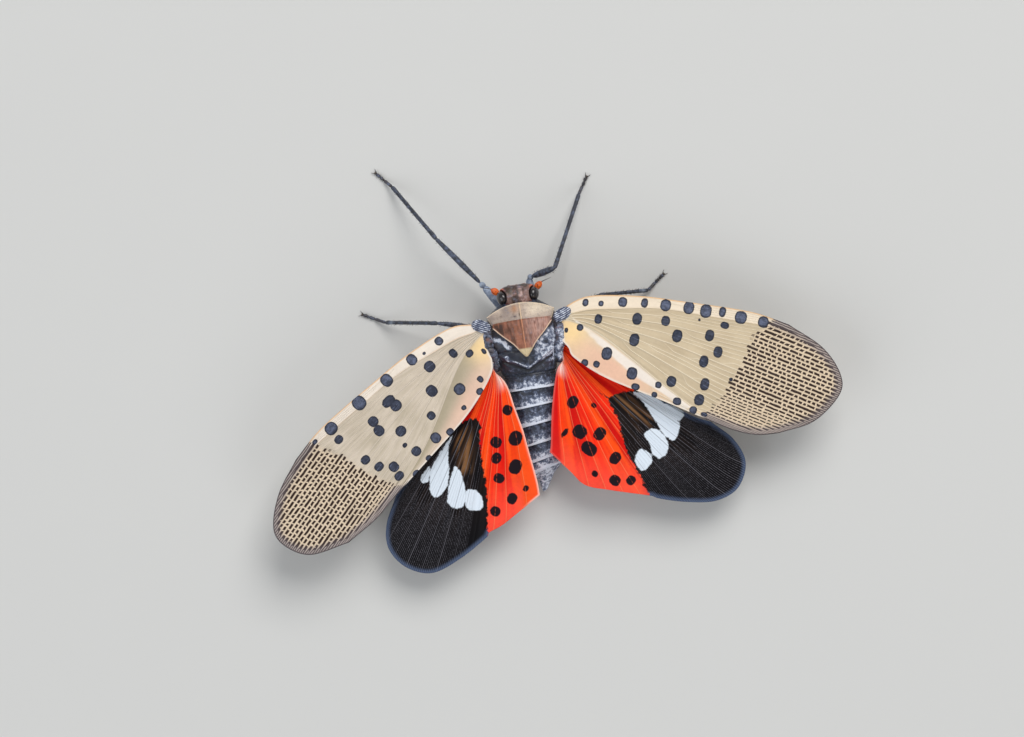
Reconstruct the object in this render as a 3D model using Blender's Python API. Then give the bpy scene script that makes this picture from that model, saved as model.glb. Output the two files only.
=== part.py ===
"""A life-size spotted lanternfly with its wings spread.

Sizes below are in millimetres, and MM turns them into metres. The plan is laid out from a
reference point in the middle of the thorax: the head points to -Y, the insect's left is +X,
and the floor is z = 0.
"""

import math

import bmesh
import bpy
from mathutils import Euler, Vector

MM = 0.001
THORAX_PLACE = (1.18, -1.6)  # thorax reference point, seen from the middle of the outer box
GAP = 0.3  # clearance between neighbouring parts
FINE_GAP = 0.15  # clearance round the small parts of the head

# Heights above the floor.
BELLY = 1.4
THORAX_TOP = 5.2
PRONOTUM_TOP = 5.3
MESONOTUM_TOP = 5.98
FOREWING_LEVEL = 4.8
HINDWING_LEVEL = 3.75
BEAK_LEVEL = 0.85

# Half widths of the body, seen from above.
THORAX_HALF_WIDTH = 2.5
METATHORAX_HALF_WIDTH = 2.1
ABDOMEN_HALF_WIDTH = 1.92
HEAD_HALF_WIDTH = 1.3

# Wings.
WING_THICKNESS = 0.5
VEIN_HEIGHT = 0.11
VEIN_HALF_WIDTH = 0.014  # as a share of the rows across the wing
TIP_START = 0.8  # share of the length where the sheet begins to thin
TIP_THINNING = 0.4
FOREWING_COLUMNS = 22
HINDWING_COLUMNS = 15

BODY_SIDES = 24
LEG_SIDES = 8
THORN_SIDES = 5
EYE_SEGMENTS = 16
SHARP_ANGLE = math.radians(40)

COLLECTION = "spotted_lanternfly"
CUTTERS = "cutters"

# name: colour, roughness
FINISHES = {
    "head_brown": ((0.13, 0.075, 0.055), 0.55),
    "eye_black": ((0.012, 0.012, 0.016), 0.15),
    "antenna_orange": ((0.75, 0.2, 0.04), 0.5),
    "pronotum_grey": ((0.42, 0.36, 0.29), 0.6),
    "mesonotum_chestnut": ((0.2, 0.085, 0.045), 0.5),
    "thorax_slate": ((0.05, 0.06, 0.08), 0.6),
    "abdomen_slate": ((0.055, 0.07, 0.1), 0.6),
    "leg_charcoal": ((0.035, 0.038, 0.045), 0.55),
    "forewing_tan": ((0.55, 0.44, 0.32), 0.65),
    "hindwing_red": ((0.85, 0.07, 0.02), 0.55),
}


def clear_scene():
    for obj in list(bpy.data.objects):
        bpy.data.objects.remove(obj, do_unlink=True)
    for block in list(bpy.data.collections):
        bpy.data.collections.remove(block)


def make_finish(name):
    colour, roughness = FINISHES[name]
    finish = bpy.data.materials.new(name)
    finish.use_nodes = True
    shader = finish.node_tree.nodes["Principled BSDF"]
    shader.inputs["Base Color"].default_value = (*colour, 1.0)
    shader.inputs["Roughness"].default_value = roughness
    finish.diffuse_color = (*colour, 1.0)
    return finish


def new_collection(name):
    made = bpy.data.collections.new(name)
    bpy.context.scene.collection.children.link(made)
    return made


def object_from(bm, name, finish=None):
    """Turns a bmesh that is laid out in millimetres into a linked object."""
    bmesh.ops.recalc_face_normals(bm, faces=bm.faces)
    bmesh.ops.scale(bm, vec=(MM, MM, MM), verts=bm.verts)
    mesh = bpy.data.meshes.new(name)
    bm.to_mesh(mesh)
    bm.free()
    mesh.shade_smooth()
    mesh.set_sharp_from_angle(angle=SHARP_ANGLE)
    obj = bpy.data.objects.new(name, mesh)
    if finish:
        mesh.materials.append(finish)
    return obj


def smooth_curve(points, count):
    """Points spread evenly along a smooth curve that passes through the given ones."""
    steps = 12
    ends = [2 * points[0] - points[1], *points, 2 * points[-1] - points[-2]]
    dense = []
    for k in range(1, len(ends) - 2):
        a, b, c, d = ends[k - 1 : k + 3]
        for step in range(steps):
            t = step / steps
            dense.append(
                0.5
                * (
                    2 * b
                    + (c - a) * t
                    + (2 * a - 5 * b + 4 * c - d) * t**2
                    + (3 * b - a - 3 * c + d) * t**3
                )
            )
    dense.append(ends[-2])
    lengths = [0.0]
    for before, after in zip(dense, dense[1:]):
        lengths.append(lengths[-1] + (after - before).length)
    spread = []
    at = 0
    for k in range(count + 1):
        goal = lengths[-1] * k / count
        while at < len(dense) - 2 and lengths[at + 1] < goal:
            at += 1
        share = (goal - lengths[at]) / (lengths[at + 1] - lengths[at])
        spread.append(dense[at].lerp(dense[at + 1], share))
    return spread


def section(y, half_width, top, middle, bottom, upper=2.4, lower=1.8, centre=0.0):
    """One cross-section of the body: wide at its middle height, rounded above and below."""
    ring = []
    for k in range(BODY_SIDES):
        angle = 2 * math.pi * k / BODY_SIDES
        across, up = math.cos(angle), math.sin(angle)
        height, power = (top - middle, upper) if up >= 0 else (middle - bottom, lower)
        ring.append(
            Vector(
                (
                    centre + half_width * math.copysign(abs(across) ** (2 / power), across),
                    y,
                    middle + height * math.copysign(abs(up) ** (2 / power), up),
                )
            )
        )
    return ring


def loft(rings, name, finish=None):
    """A closed solid through rings of equal count, with a fan over each end."""
    bm = bmesh.new()
    rows = [[bm.verts.new(point) for point in ring] for ring in rings]
    count = len(rows[0])
    for near, far in zip(rows, rows[1:]):
        for k in range(count):
            after = (k + 1) % count
            bm.faces.new((near[k], near[after], far[after], far[k]))
    for row in (rows[0], rows[-1]):
        middle = bm.verts.new(sum((vert.co for vert in row), Vector()) / count)
        for k in range(count):
            bm.faces.new((row[k], row[(k + 1) % count], middle))
    return object_from(bm, name, finish)


def tube_rings(path, sides, floor=None):
    """Rings round a path of (point, radius), cut flat where they would pass the floor."""
    rings = []
    points = [Vector(point) for point, _ in path]
    for k, (_, radius) in enumerate(path):
        along = points[min(k + 1, len(points) - 1)] - points[max(k - 1, 0)]
        along.normalize()
        side = along.cross(Vector((0, 0, 1)))
        if side.length < 0.2:
            side = along.cross(Vector((0, 1, 0)))
        side.normalize()
        up = side.cross(along)
        ring = []
        for corner in range(sides):
            angle = 2 * math.pi * (corner + 0.5) / sides
            point = points[k] + radius * (math.cos(angle) * side + math.sin(angle) * up)
            if floor is not None:
                point.z = max(point.z, floor)
            ring.append(point)
        rings.append(ring)
    return rings


def united(pieces, name, finish):
    """One closed body from several closed meshes, keeping only its largest surface."""
    base, *others = pieces
    joined = new_collection(name + "_pieces")
    bpy.context.scene.collection.objects.link(base)
    for piece in others:
        joined.objects.link(piece)
    union = base.modifiers.new("union", "BOOLEAN")
    union.operation = "UNION"
    union.operand_type = "COLLECTION"
    union.collection = joined
    union.solver = "EXACT"
    graph = bpy.context.evaluated_depsgraph_get()
    mesh = bpy.data.meshes.new_from_object(base.evaluated_get(graph))
    for piece in pieces:
        bpy.data.objects.remove(piece, do_unlink=True)
    bpy.data.collections.remove(joined)
    keep_largest(mesh)
    mesh.materials.clear()
    mesh.materials.append(finish)
    mesh.name = name
    return bpy.data.objects.new(name, mesh)


def keep_largest(mesh):
    bm = bmesh.new()
    bm.from_mesh(mesh)
    left = set(bm.verts)
    shells = []
    while left:
        seeds = [left.pop()]
        shell = set(seeds)
        while seeds:
            for edge in seeds.pop().link_edges:
                for vert in edge.verts:
                    if vert in left:
                        left.remove(vert)
                        shell.add(vert)
                        seeds.append(vert)
        shells.append(shell)
    shells.sort(key=len)
    for shell in shells[:-1]:
        bmesh.ops.delete(bm, geom=list(shell), context="VERTS")
    bm.to_mesh(mesh)
    bm.free()


def ellipsoid(name, centre, radii, turn, finish=None):
    bm = bmesh.new()
    bmesh.ops.create_uvsphere(bm, u_segments=EYE_SEGMENTS, v_segments=EYE_SEGMENTS // 2, radius=1)
    bmesh.ops.scale(bm, vec=radii, verts=bm.verts)
    bmesh.ops.rotate(bm, matrix=Euler(turn).to_matrix(), verts=bm.verts)
    bmesh.ops.translate(bm, vec=centre, verts=bm.verts)
    return object_from(bm, name, finish)


# Head: a short, blunt box of a head with a steep face that narrows down to the beak.

EYE_CENTRE = (1.13, -2.5, 3.75)
EYE_RADII = (0.42, 0.52, 0.6)
EYE_TURN = math.radians(18)
EYE_LEAN = math.radians(-8)
HEAD_FRONT = -3.32
HEAD_BACK = -2.05
HEAD_TOP = 4.55

# y, half width, top, middle, bottom
HEAD_SECTIONS = (
    (HEAD_FRONT, 0.85, 4.0, 3.45, 2.75),
    (-3.22, 1.12, 4.2, 3.35, 2.25),
    (-2.98, HEAD_HALF_WIDTH - 0.04, 4.38, 3.3, 1.8),
    (-2.6, HEAD_HALF_WIDTH, HEAD_TOP, 3.3, 1.52),
    (-2.3, HEAD_HALF_WIDTH - 0.03, HEAD_TOP, 3.3, 1.58),
    (HEAD_BACK, 1.15, HEAD_TOP - 0.1, 3.3, 1.8),
)


def eye_pose(side, grown=0.0):
    x, y, z = EYE_CENTRE
    radii = tuple(radius + grown for radius in EYE_RADII)
    return (side * x, y, z), radii, (0, side * EYE_LEAN, side * EYE_TURN)


def make_head(finish, cutters):
    rings = [section(*sizes, upper=3.4, lower=1.5) for sizes in HEAD_SECTIONS]
    head = loft(rings, "head", finish)
    for side, word in ((1, "left"), (-1, "right")):
        centre, radii, turn = eye_pose(side, FINE_GAP)
        socket = ellipsoid(f"eye_socket_{word}", centre, radii, turn)
        socket.hide_render = True
        socket.display_type = "WIRE"
        cutters.objects.link(socket)
        cut = head.modifiers.new(f"eye_socket_{word}", "BOOLEAN")
        cut.operation = "DIFFERENCE"
        cut.object = socket
        cut.solver = "EXACT"
    return head


def make_eye(side, word, finish):
    centre, radii, turn = eye_pose(side)
    return ellipsoid(f"eye_{word}", centre, radii, turn, finish)


def make_antenna(side, word, finish):
    """A bulb on a short stalk below the eye, ending in a bristle."""
    root = Vector((side * (HEAD_HALF_WIDTH + FINE_GAP), -2.9, 2.7))
    out = Vector((side * 0.72, -0.62, 0.1)).normalized()
    bulb = ((0.0, 0.12), (0.08, 0.16), (0.16, 0.26), (0.32, 0.31), (0.48, 0.26), (0.58, 0.12))
    path = [(root + out * reach, radius) for reach, radius in bulb]
    end = root + out * bulb[-1][0]
    bristle = Vector((side * 0.9, -0.25, 0.35)).normalized()
    path += [(end + bristle * 0.15, 0.06), (end + bristle * 0.8, 0.03)]
    return loft(tube_rings(path, LEG_SIDES), f"antenna_{word}", finish)


def make_beak(finish):
    """The jointed beak, folded back under the body between the legs."""
    path = (
        ((0, -2.8, 1.08), 0.18),
        ((0, -2.5, 0.94), 0.26),
        ((0, -1.6, BEAK_LEVEL), 0.27),
        ((0, 0.2, BEAK_LEVEL), 0.25),
        ((0, 1.7, BEAK_LEVEL), 0.22),
        ((0, 2.5, BEAK_LEVEL), 0.1),
    )
    return loft(tube_rings(path, LEG_SIDES), "beak", finish)


# Thorax: three rings of flank and belly, with two plates on their backs.

# y, half width, top, middle, bottom
PROTHORAX_SECTIONS = (
    (HEAD_BACK + GAP, 1.75, 4.05, 3.2, 1.75),
    (-1.55, 2.2, 4.2, 3.2, 1.55),
    (-1.1, THORAX_HALF_WIDTH, 4.32, 3.2, BELLY + 0.05),
    (-0.7, THORAX_HALF_WIDTH, 4.4, 3.2, BELLY),
)
MESOTHORAX_SECTIONS = (
    (-0.7 + GAP, THORAX_HALF_WIDTH, 5.05, 3.5, BELLY),
    (0.2, THORAX_HALF_WIDTH + 0.04, THORAX_TOP, 3.55, BELLY),
    (0.8, THORAX_HALF_WIDTH, THORAX_TOP, 3.5, BELLY),
    (1.25, 2.4, 5.12, 3.4, BELLY),
)
METATHORAX_SECTIONS = (
    (1.25 + GAP, METATHORAX_HALF_WIDTH + 0.1, 5.02, 3.3, BELLY),
    (2.1, METATHORAX_HALF_WIDTH + 0.03, 4.75, 3.1, BELLY),
    (2.6, METATHORAX_HALF_WIDTH, 4.4, 2.9, BELLY + 0.02),
    (3.05, 2.0, 4.05, 2.7, BELLY + 0.05),
)


def make_thorax_ring(sections, name, finish):
    rings = [section(*sizes, upper=3.0, lower=1.6) for sizes in sections]
    return loft(rings, name, finish)


PLATE_THICKNESS = 0.5
PLATE_COLUMNS = 16
KEEL_HEIGHT, KEEL_HALF_WIDTH = 0.07, 0.2
PRONOTUM_CURVE, PRONOTUM_BROW = 0.085, 0.3
MESONOTUM_CURVE, MESONOTUM_SLOPE = 0.07, 0.04

# Edges of the plates on the insect's left, from the middle line outwards.
PRONOTUM_FRONT = ((0, -1.93), (0.9, -1.86), (1.75, -1.62), (2.45, -1.28))
PRONOTUM_BACK = ((0, -0.66), (1.1, -0.72), (2.2, -0.78))
MESONOTUM_FRONT = ((0, -0.34), (1.1, -0.4), (2.15, -0.44))
MESONOTUM_BACK = ((0, 1.88), (0.5, 1.3), (1.25, 0.6), (2.08, -0.2))


def both_sides(half_edge):
    """The whole edge of a plate, from the insect's right to its left."""
    other = [Vector((-x, y)) for x, y in reversed(half_edge[1:])]
    return other + [Vector(point) for point in half_edge]


def make_plate(front, back, crown, rows, name, finish):
    """A shield between a front and a back edge; crown(x, y) is its upper face."""
    across = PLATE_COLUMNS
    front_row = smooth_curve(both_sides(front), across)
    back_row = smooth_curve(both_sides(back), across)

    def place(u, v):
        flat = front_row[round(u * across)].lerp(back_row[round(u * across)], v)
        return Vector((flat.x, flat.y, crown(flat.x, flat.y) - PLATE_THICKNESS / 2))

    return sheet(place, lambda u, v: PLATE_THICKNESS / 2, across, rows, name, finish)


def sheet(place, half_thickness, columns, rows, name, finish):
    """A closed sheet: place(u, v) is its middle, and both faces are split alike."""
    bm = bmesh.new()
    bmesh.ops.create_grid(bm, x_segments=columns, y_segments=rows, size=1)
    bmesh.ops.triangulate(bm, faces=bm.faces, quad_method="FIXED")
    made = bmesh.ops.extrude_face_region(bm, geom=bm.faces[:], use_keep_orig=True)
    upper = {item for item in made["geom"] if isinstance(item, bmesh.types.BMVert)}
    for vert in bm.verts:
        u = round((vert.co.x + 1) / 2 * columns) / columns
        v = round((vert.co.y + 1) / 2 * rows) / rows
        half = half_thickness(u, v)
        vert.co = place(u, v) + Vector((0, 0, half if vert in upper else -half))
    bmesh.ops.triangulate(bm, faces=bm.faces)
    return object_from(bm, name, finish)


def keel(x):
    """A low ridge along the middle of the back."""
    return KEEL_HEIGHT * math.exp(-((x / KEEL_HALF_WIDTH) ** 2))


def pronotum_crown(x, y):
    brow = PRONOTUM_BROW * max(PRONOTUM_FRONT[-1][1] - y, 0)
    return PRONOTUM_TOP - PRONOTUM_CURVE * x**2 - brow + keel(x)


def mesonotum_crown(x, y):
    return MESONOTUM_TOP - MESONOTUM_CURVE * x**2 - MESONOTUM_SLOPE * max(y, 0) + keel(x)


# Abdomen: rings that overlap like tiles, bent a little to the insect's right.

ABDOMEN_FRONT = 3.05 + GAP
RING_ENDS = (4.35, 5.6, 6.9, 8.3, 9.5, 10.15)
RING_STEP = 0.07  # how far each ring's hind edge stands over the next one's front
RING_LIP = 0.1
ABDOMEN_TAPER = 0.26
ABDOMEN_HEIGHTS = ((3.98, 2.53), (2.35, 1.5), (0.95, 0.6))  # top, middle, bottom: front, back
ABDOMEN_SHIFTS = (-0.05, -0.32)  # sideways, at the front and the back
TAIL_ENDS = ((10.45, 0.66), (10.75, 0.42), (11.3, 0.28), (11.85, 0.16))  # y, share of the last ring
TAIL_DROP = 0.35
TAIL_BEND = 0.25


def abdomen_shape(y):
    """Half width, top, middle, bottom and sideways shift at this place along the abdomen."""
    share = (y - ABDOMEN_FRONT) / (RING_ENDS[-1] - ABDOMEN_FRONT)
    half_width = ABDOMEN_HALF_WIDTH * (1 - ABDOMEN_TAPER * share**2.2)
    top, middle, bottom = (front + (back - front) * share for front, back in ABDOMEN_HEIGHTS)
    shift = ABDOMEN_SHIFTS[0] + (ABDOMEN_SHIFTS[1] - ABDOMEN_SHIFTS[0]) * share
    return half_width, top, middle, bottom, shift


def abdomen_section(y, shrink):
    half_width, top, middle, bottom, shift = abdomen_shape(y)
    return section(
        y, half_width - shrink, top - shrink, middle, bottom + shrink, 2.1, 2.0, shift
    )


def tail_section(y, scale):
    half_width, top, middle, bottom, shift = abdomen_shape(RING_ENDS[-1])
    past = y - RING_ENDS[-1]
    drop = TAIL_DROP * past
    middle -= drop
    return section(
        y,
        half_width * scale,
        middle + (top - middle - drop) * scale,
        middle,
        middle - 0.9 * (middle - bottom) * scale,
        2.0,
        2.0,
        shift + TAIL_BEND * past,
    )


def make_abdomen(finish):
    rings = []
    start = ABDOMEN_FRONT
    for end in RING_ENDS:
        rings += [
            abdomen_section(start, RING_STEP),
            abdomen_section(start + 0.35 * (end - start), 0.3 * RING_STEP),
            abdomen_section(end - RING_LIP, 0),
            abdomen_section(end, 0.6 * RING_STEP),
        ]
        start = end + 0.4 * RING_LIP
    rings += [tail_section(y, scale) for y, scale in TAIL_ENDS]
    return loft(rings, "abdomen", finish)


# Legs: each is one bent, jointed rod that ends in a small flat on the floor.

COXA, FEMUR, TIBIA = 0.33, 0.32, 0.26
TARSUS = 0.24
SOLE = 0.15  # height of the middle of the foot, which is less than its radius
SPINE_LENGTH = 0.7
SPINE_PLACES = (0.3, 0.44, 0.58, 0.72, 0.86)  # shares of the hind tibia
CLAW_LENGTH = 0.42
CLAW_SPREAD = math.radians(24)
CLAW_TIP_LEVEL = 0.06
ANKLE = 0.5

# Where the legs leave the body: heights, and how far out for the mid and hind legs.
FORE_ROOT = BELLY + 0.07
MID_ROOT, MID_ROOT_OUT = BELLY + 0.42, THORAX_HALF_WIDTH - 0.38
HIND_ROOT, HIND_ROOT_OUT = BELLY + 0.27, METATHORAX_HALF_WIDTH - 0.22

# Joints of each leg: root, end of coxa, knee, ankle, toe.
LEGS = {
    "leg_fore_left": (
        (1.62, -1.75, FORE_ROOT), (2.35, -3.6, 1.75), (5.3, -7.54, 3.3),
        (7.97, -11.89, ANKLE), (9.16, -13.24, SOLE),
    ),
    "leg_fore_right": (
        (-1.5, -1.75, FORE_ROOT), (-1.0, -3.75, 1.6), (-2.95, -4.15, 3.6),
        (-5.55, -9.32, ANKLE), (-6.44, -10.72, SOLE),
    ),
    "leg_mid_left": (
        (MID_ROOT_OUT, -0.1, MID_ROOT), (3.2, -0.7, 1.9), (6.1, -1.42, 3.2),
        (9.9, -2.07, ANKLE), (11.7, -3.02, SOLE),
    ),
    "leg_mid_right": (
        (-MID_ROOT_OUT, -0.1, MID_ROOT), (-3.2, -0.9, 1.9), (-5.9, -1.72, 3.2),
        (-9.55, -1.58, ANKLE), (-11.04, -2.75, SOLE),
    ),
    "leg_hind_left": (
        (HIND_ROOT_OUT, 2.0, HIND_ROOT), (2.6, 2.6, 1.5), (4.9, 4.6, 2.5),
        (6.6, 10.6, ANKLE), (6.95, 12.0, SOLE),
    ),
    "leg_hind_right": (
        (-HIND_ROOT_OUT, 2.0, HIND_ROOT), (-2.6, 2.6, 1.5), (-5.0, 4.3, 2.5),
        (-6.9, 9.9, ANKLE), (-7.35, 11.25, SOLE),
    ),
}


# Thickness along each segment of a leg: share of its length, share of its radius.
COXA_PROFILE = ((0.0, 1.0), (0.5, 1.0), (0.88, 0.85))
FEMUR_PROFILE = ((0.1, 0.85), (0.4, 1.1), (0.8, 0.95), (0.95, 0.85))
TIBIA_PROFILE = ((0.06, 1.0), (0.35, 1.0), (0.75, 1.0), (0.96, 1.05))
HEEL_PROFILE = ((0.35, 0.9),)
FOOT_PROFILE = ((0.0, 1.0), (0.45, 0.92), (0.8, 1.0), (1.0, 0.7))


def leg_path(joints):
    """Points and radii along a leg, from its root to its toe."""
    root, hip, knee, ankle, toe = joints
    heel = ankle.lerp(toe, 0.4)
    heel.z = SOLE
    segments = (
        (root, hip, COXA, COXA_PROFILE),
        (hip, knee, FEMUR, FEMUR_PROFILE),
        (knee, ankle, TIBIA, TIBIA_PROFILE),
        (ankle, heel, TARSUS, HEEL_PROFILE),
        (heel, toe, TARSUS, FOOT_PROFILE),
    )
    return [
        (start.lerp(end, share), radius * scale)
        for start, end, radius, profile in segments
        for share, scale in profile
    ]


def make_thorn(name, root, tip, thickness):
    path = ((root, thickness), (root.lerp(tip, 0.6), thickness * 0.75), (tip, 0.03))
    return loft(tube_rings(path, THORN_SIDES), name)


def make_leg(name, joints, finish):
    """One leg with its two claws, and the row of spines that a hind leg has."""
    *joints, end = (Vector(joint) for joint in joints)
    knee, ankle = joints[2:]
    forward = (end - ankle) * Vector((1, 1, 0))
    forward.normalize()
    toe = end - forward * CLAW_LENGTH * 0.7
    leg = loft(tube_rings(leg_path([*joints, toe]), LEG_SIDES, floor=0.0), name, finish)
    thorns = []
    for turn in (-CLAW_SPREAD, CLAW_SPREAD):
        root = toe - forward * 0.12
        way = Euler((0, 0, turn)).to_matrix() @ forward
        tip = root + way * CLAW_LENGTH
        tip.z = CLAW_TIP_LEVEL
        thorns.append(make_thorn(f"{name}_claw_{len(thorns)}", root, tip, 0.1))
    if "hind" in name:
        outward = Vector((math.copysign(1, knee.x), 0.35, -0.15)).normalized()
        for share in SPINE_PLACES:
            root = knee.lerp(ankle, share)
            tip = root + outward * SPINE_LENGTH
            thorns.append(make_thorn(f"{name}_spine_{len(thorns)}", root, tip, 0.15))
    return united([leg, *thorns], name, finish)


# Wings: a sheet stretched between four edges, with its main veins raised along the rows.
# Plan points are local to the wing: x from the hinge to the tip, y from front to back.

CLAVAL_ROW = 0.72
COSTAL_ROW = 0.12
CLAVUS_START, CLAVUS_FINISH = 0.25, 0.97  # shares of the chord at the hinge and past CLAVUS_END
CLAVUS_END = 0.72  # share of the length
COSTAL_SHARE, COSTAL_FLARE = 0.14, 0.5

# Levels of the sheets over the wing's length: rise at the hinge, droop, arch, pleats.
FOREWING_RISE, FOREWING_DROOP, FOREWING_ARCH = 0.03, 0.0032, 0.25
FOREWING_MIDDLE, FOREWING_HALF_CHORD = 0.8, 4.2
ARCH_REACH = 8
HINDWING_DROOP, PLEAT_DEPTH, PLEAT_TURNS = 0.0042, 0.14, 4
PLEATS_FROM, PLEATS_FULL = 0.45, 0.6  # rows
PLEAT_REACH = 0.4  # share of the length where the pleats are fully deep

FOREWING_FRONT = (
    (0.15, -1.04), (1.2, -1.86), (2.8, -2.36), (5.5, -2.85),
    (8.3, -3.1), (11.1, -3.33), (13.6, -3.42), (16.1, -3.12),
)
FOREWINGS = {
    "left": {
        "hinge": (2.9, -0.2),
        "sweep": 36.5,
        "front": FOREWING_FRONT,
        "outer": ((18.74, -2.25), (20.8, -0.74), (21.1, 0.8), (20.2, 2.55), (17.64, 3.85)),
        "back": ((0.95, 1.9), (1.9, 2.62), (4.8, 3.36), (8.5, 3.64), (12.7, 3.85), (15.0, 4.05)),
    },
    "right": {
        "hinge": (-3.0, -0.4),
        "sweep": 21.0,
        "front": FOREWING_FRONT,
        "outer": ((18.9, -2.01), (20.62, -0.32), (20.75, 1.21), (19.37, 3.37), (17.13, 4.72)),
        "back": (
            (0.85, 2.0), (1.46, 2.64), (4.07, 3.56), (8.5, 4.29),
            (11.46, 4.83), (13.82, 5.23), (15.6, 5.2),
        ),
    },
}
HINDWINGS = {
    "left": {
        "hinge": (2.3, 1.8),
        "sweep": 59.0,
        "front": ((0.6, -0.4), (5.5, -1.6), (10.9, -2.73), (12.05, -2.89)),
        "outer": (
            (14.23, -2.71), (15.78, -1.88), (16.52, -0.22), (16.18, 1.71), (14.39, 3.22),
            (12.3, 4.35), (11.82, 4.42), (11.0, 5.07), (9.72, 5.79), (7.88, 6.77),
        ),
        "back": ((1.35, 1.42), (2.79, 2.74), (4.03, 3.88), (5.25, 4.83), (6.95, 6.17)),
    },
    "right": {
        "hinge": (-2.5, 1.6),
        "sweep": 45.0,
        "front": ((0.6, -0.4), (5.5, -1.0), (10.38, -1.63), (12.09, -2.16)),
        "outer": (
            (14.2, -2.12), (15.9, -1.3), (16.57, 0.52), (15.83, 2.26), (14.09, 3.64),
            (12.4, 4.58), (11.85, 4.75), (11.2, 5.1), (9.1, 6.23), (7.47, 7.0),
            (6.0, 6.85), (3.95, 6.6),
        ),
        "back": ((0.88, 1.65), (2.18, 3.95), (3.6, 6.0)),
    },
}
FOREWING_ROOT = ((2.74, -0.8), (2.74, 1.25))
HINDWING_ROOT = ((2.68, 1.45), (2.56, 2.6))

FOREWING_VEINS = (COSTAL_ROW, 0.27, 0.42, 0.57, CLAVAL_ROW, 0.86)
HINDWING_VEINS = (0.08, 0.2, 0.33, 0.46, 0.58, 0.7, 0.82, 0.93)


def to_wing(point, wing, side):
    """A plan point of the body in the wing's own coordinates."""
    across = side * (side * point[0] - wing["hinge"][0])
    along = point[1] - wing["hinge"][1]
    turn = math.radians(wing["sweep"])
    return (
        across * math.cos(turn) + along * math.sin(turn),
        -across * math.sin(turn) + along * math.cos(turn),
    )


def vein_rows(veins):
    """Shares across the wing: three for each vein, so that it is a ridge, and one between."""
    rows = [0.0]
    for vein in veins:
        if rows[-1] > 0:
            rows.append((rows[-1] + vein - VEIN_HALF_WIDTH) / 2)
        rows += [vein - VEIN_HALF_WIDTH, vein, vein + VEIN_HALF_WIDTH]
    return rows + [1.0]


def claval_share(u):
    """Share of the chord in front of the claval suture, which runs out at the hind edge."""
    run = min(u / CLAVUS_END, 1)
    return CLAVUS_START + (CLAVUS_FINISH - CLAVUS_START) * (1 - (1 - run) ** 1.8)


def forewing_chord(u, row):
    """Share of the chord at a row: rows fan out from the hinge and close on the clavus."""
    claval = claval_share(u)
    costal = claval * (COSTAL_SHARE + COSTAL_FLARE * max(1 - 2 * u, 0) ** 2)
    if row < COSTAL_ROW:
        return costal * row / COSTAL_ROW
    if row < CLAVAL_ROW:
        return costal + (claval - costal) * (row - COSTAL_ROW) / (CLAVAL_ROW - COSTAL_ROW)
    return claval + (1 - claval) * (row - CLAVAL_ROW) / (1 - CLAVAL_ROW)


def hindwing_chord(_u, row):
    return row


def wing_patch(wing, root, side, columns, samples=60):
    """The wing's middle sheet in plan, as a function of shares along and across."""
    start, end = (Vector(to_wing(point, wing, side)) for point in root)
    front_corner = Vector(wing["front"][-1])
    back_corner = Vector(wing["outer"][-1])
    front = smooth_curve([start, *map(Vector, wing["front"])], columns)
    back = smooth_curve([end, *map(Vector, wing["back"]), back_corner], columns)
    outer = smooth_curve([front_corner, *map(Vector, wing["outer"])], samples)

    def place(u, chord):
        near, far = front[round(u * columns)], back[round(u * columns)]
        at = min(chord * samples, samples - 1e-6)
        rim = outer[int(at)].lerp(outer[int(at) + 1], at % 1)
        base = start.lerp(end, chord)
        corners = start.lerp(end, chord).lerp(front_corner.lerp(back_corner, chord), u)
        return near.lerp(far, chord) + base.lerp(rim, u) - corners

    return place


def forewing_level(flat, _u, _row):
    """Height of the forewing's middle sheet: a low arch from edge to edge, drooping outwards."""
    across = (flat.y - FOREWING_MIDDLE) / FOREWING_HALF_CHORD
    arch = FOREWING_ARCH * (1 - across**2) * min(flat.x / ARCH_REACH, 1)
    return FOREWING_LEVEL + FOREWING_RISE * flat.x - FOREWING_DROOP * flat.x**2 + arch


def hindwing_level(flat, u, row):
    """Level in front, with the hind part laid in pleats that deepen away from the hinge."""
    deep = max(min((row - PLEATS_FROM) / (PLEATS_FULL - PLEATS_FROM), 1), 0)
    pleats = PLEAT_DEPTH * math.cos(row * PLEAT_TURNS * 2 * math.pi) * deep
    return HINDWING_LEVEL - HINDWING_DROOP * flat.x**2 + pleats * min(u / PLEAT_REACH, 1)


WING_KINDS = {
    "forewing": {
        "wings": FOREWINGS,
        "root": FOREWING_ROOT,
        "columns": FOREWING_COLUMNS,
        "veins": FOREWING_VEINS,
        "chord": forewing_chord,
        "level": forewing_level,
        "finish": "forewing_tan",
    },
    "hindwing": {
        "wings": HINDWINGS,
        "root": HINDWING_ROOT,
        "columns": HINDWING_COLUMNS,
        "veins": HINDWING_VEINS,
        "chord": hindwing_chord,
        "level": hindwing_level,
        "finish": "hindwing_red",
    },
}


def make_wing(kind_name, side, word, finishes):
    """One wing, laid out along its own length and turned to its sweep at the hinge."""
    kind = WING_KINDS[kind_name]
    wing = kind["wings"][word]
    rows = vein_rows(kind["veins"])
    place = wing_patch(wing, kind["root"], side, kind["columns"])

    def middle(u, v):
        row = rows[round(v * (len(rows) - 1))]
        flat = place(u, kind["chord"](u, row))
        return Vector((side * flat.x, flat.y, kind["level"](flat, u, row)))

    def half(u, v):
        raised = VEIN_HEIGHT if rows[round(v * (len(rows) - 1))] in kind["veins"] else 0
        thinner = 1 - TIP_THINNING * max(u - TIP_START, 0) / (1 - TIP_START)
        return (WING_THICKNESS / 2 + raised) * thinner

    name = f"{kind_name}_{word}"
    finish = finishes[kind["finish"]]
    obj = sheet(middle, half, kind["columns"], len(rows) - 1, name, finish)
    obj.location = (wing["hinge"][0] * MM, wing["hinge"][1] * MM, 0)
    obj.rotation_euler.z = side * math.radians(wing["sweep"])
    return obj


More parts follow.
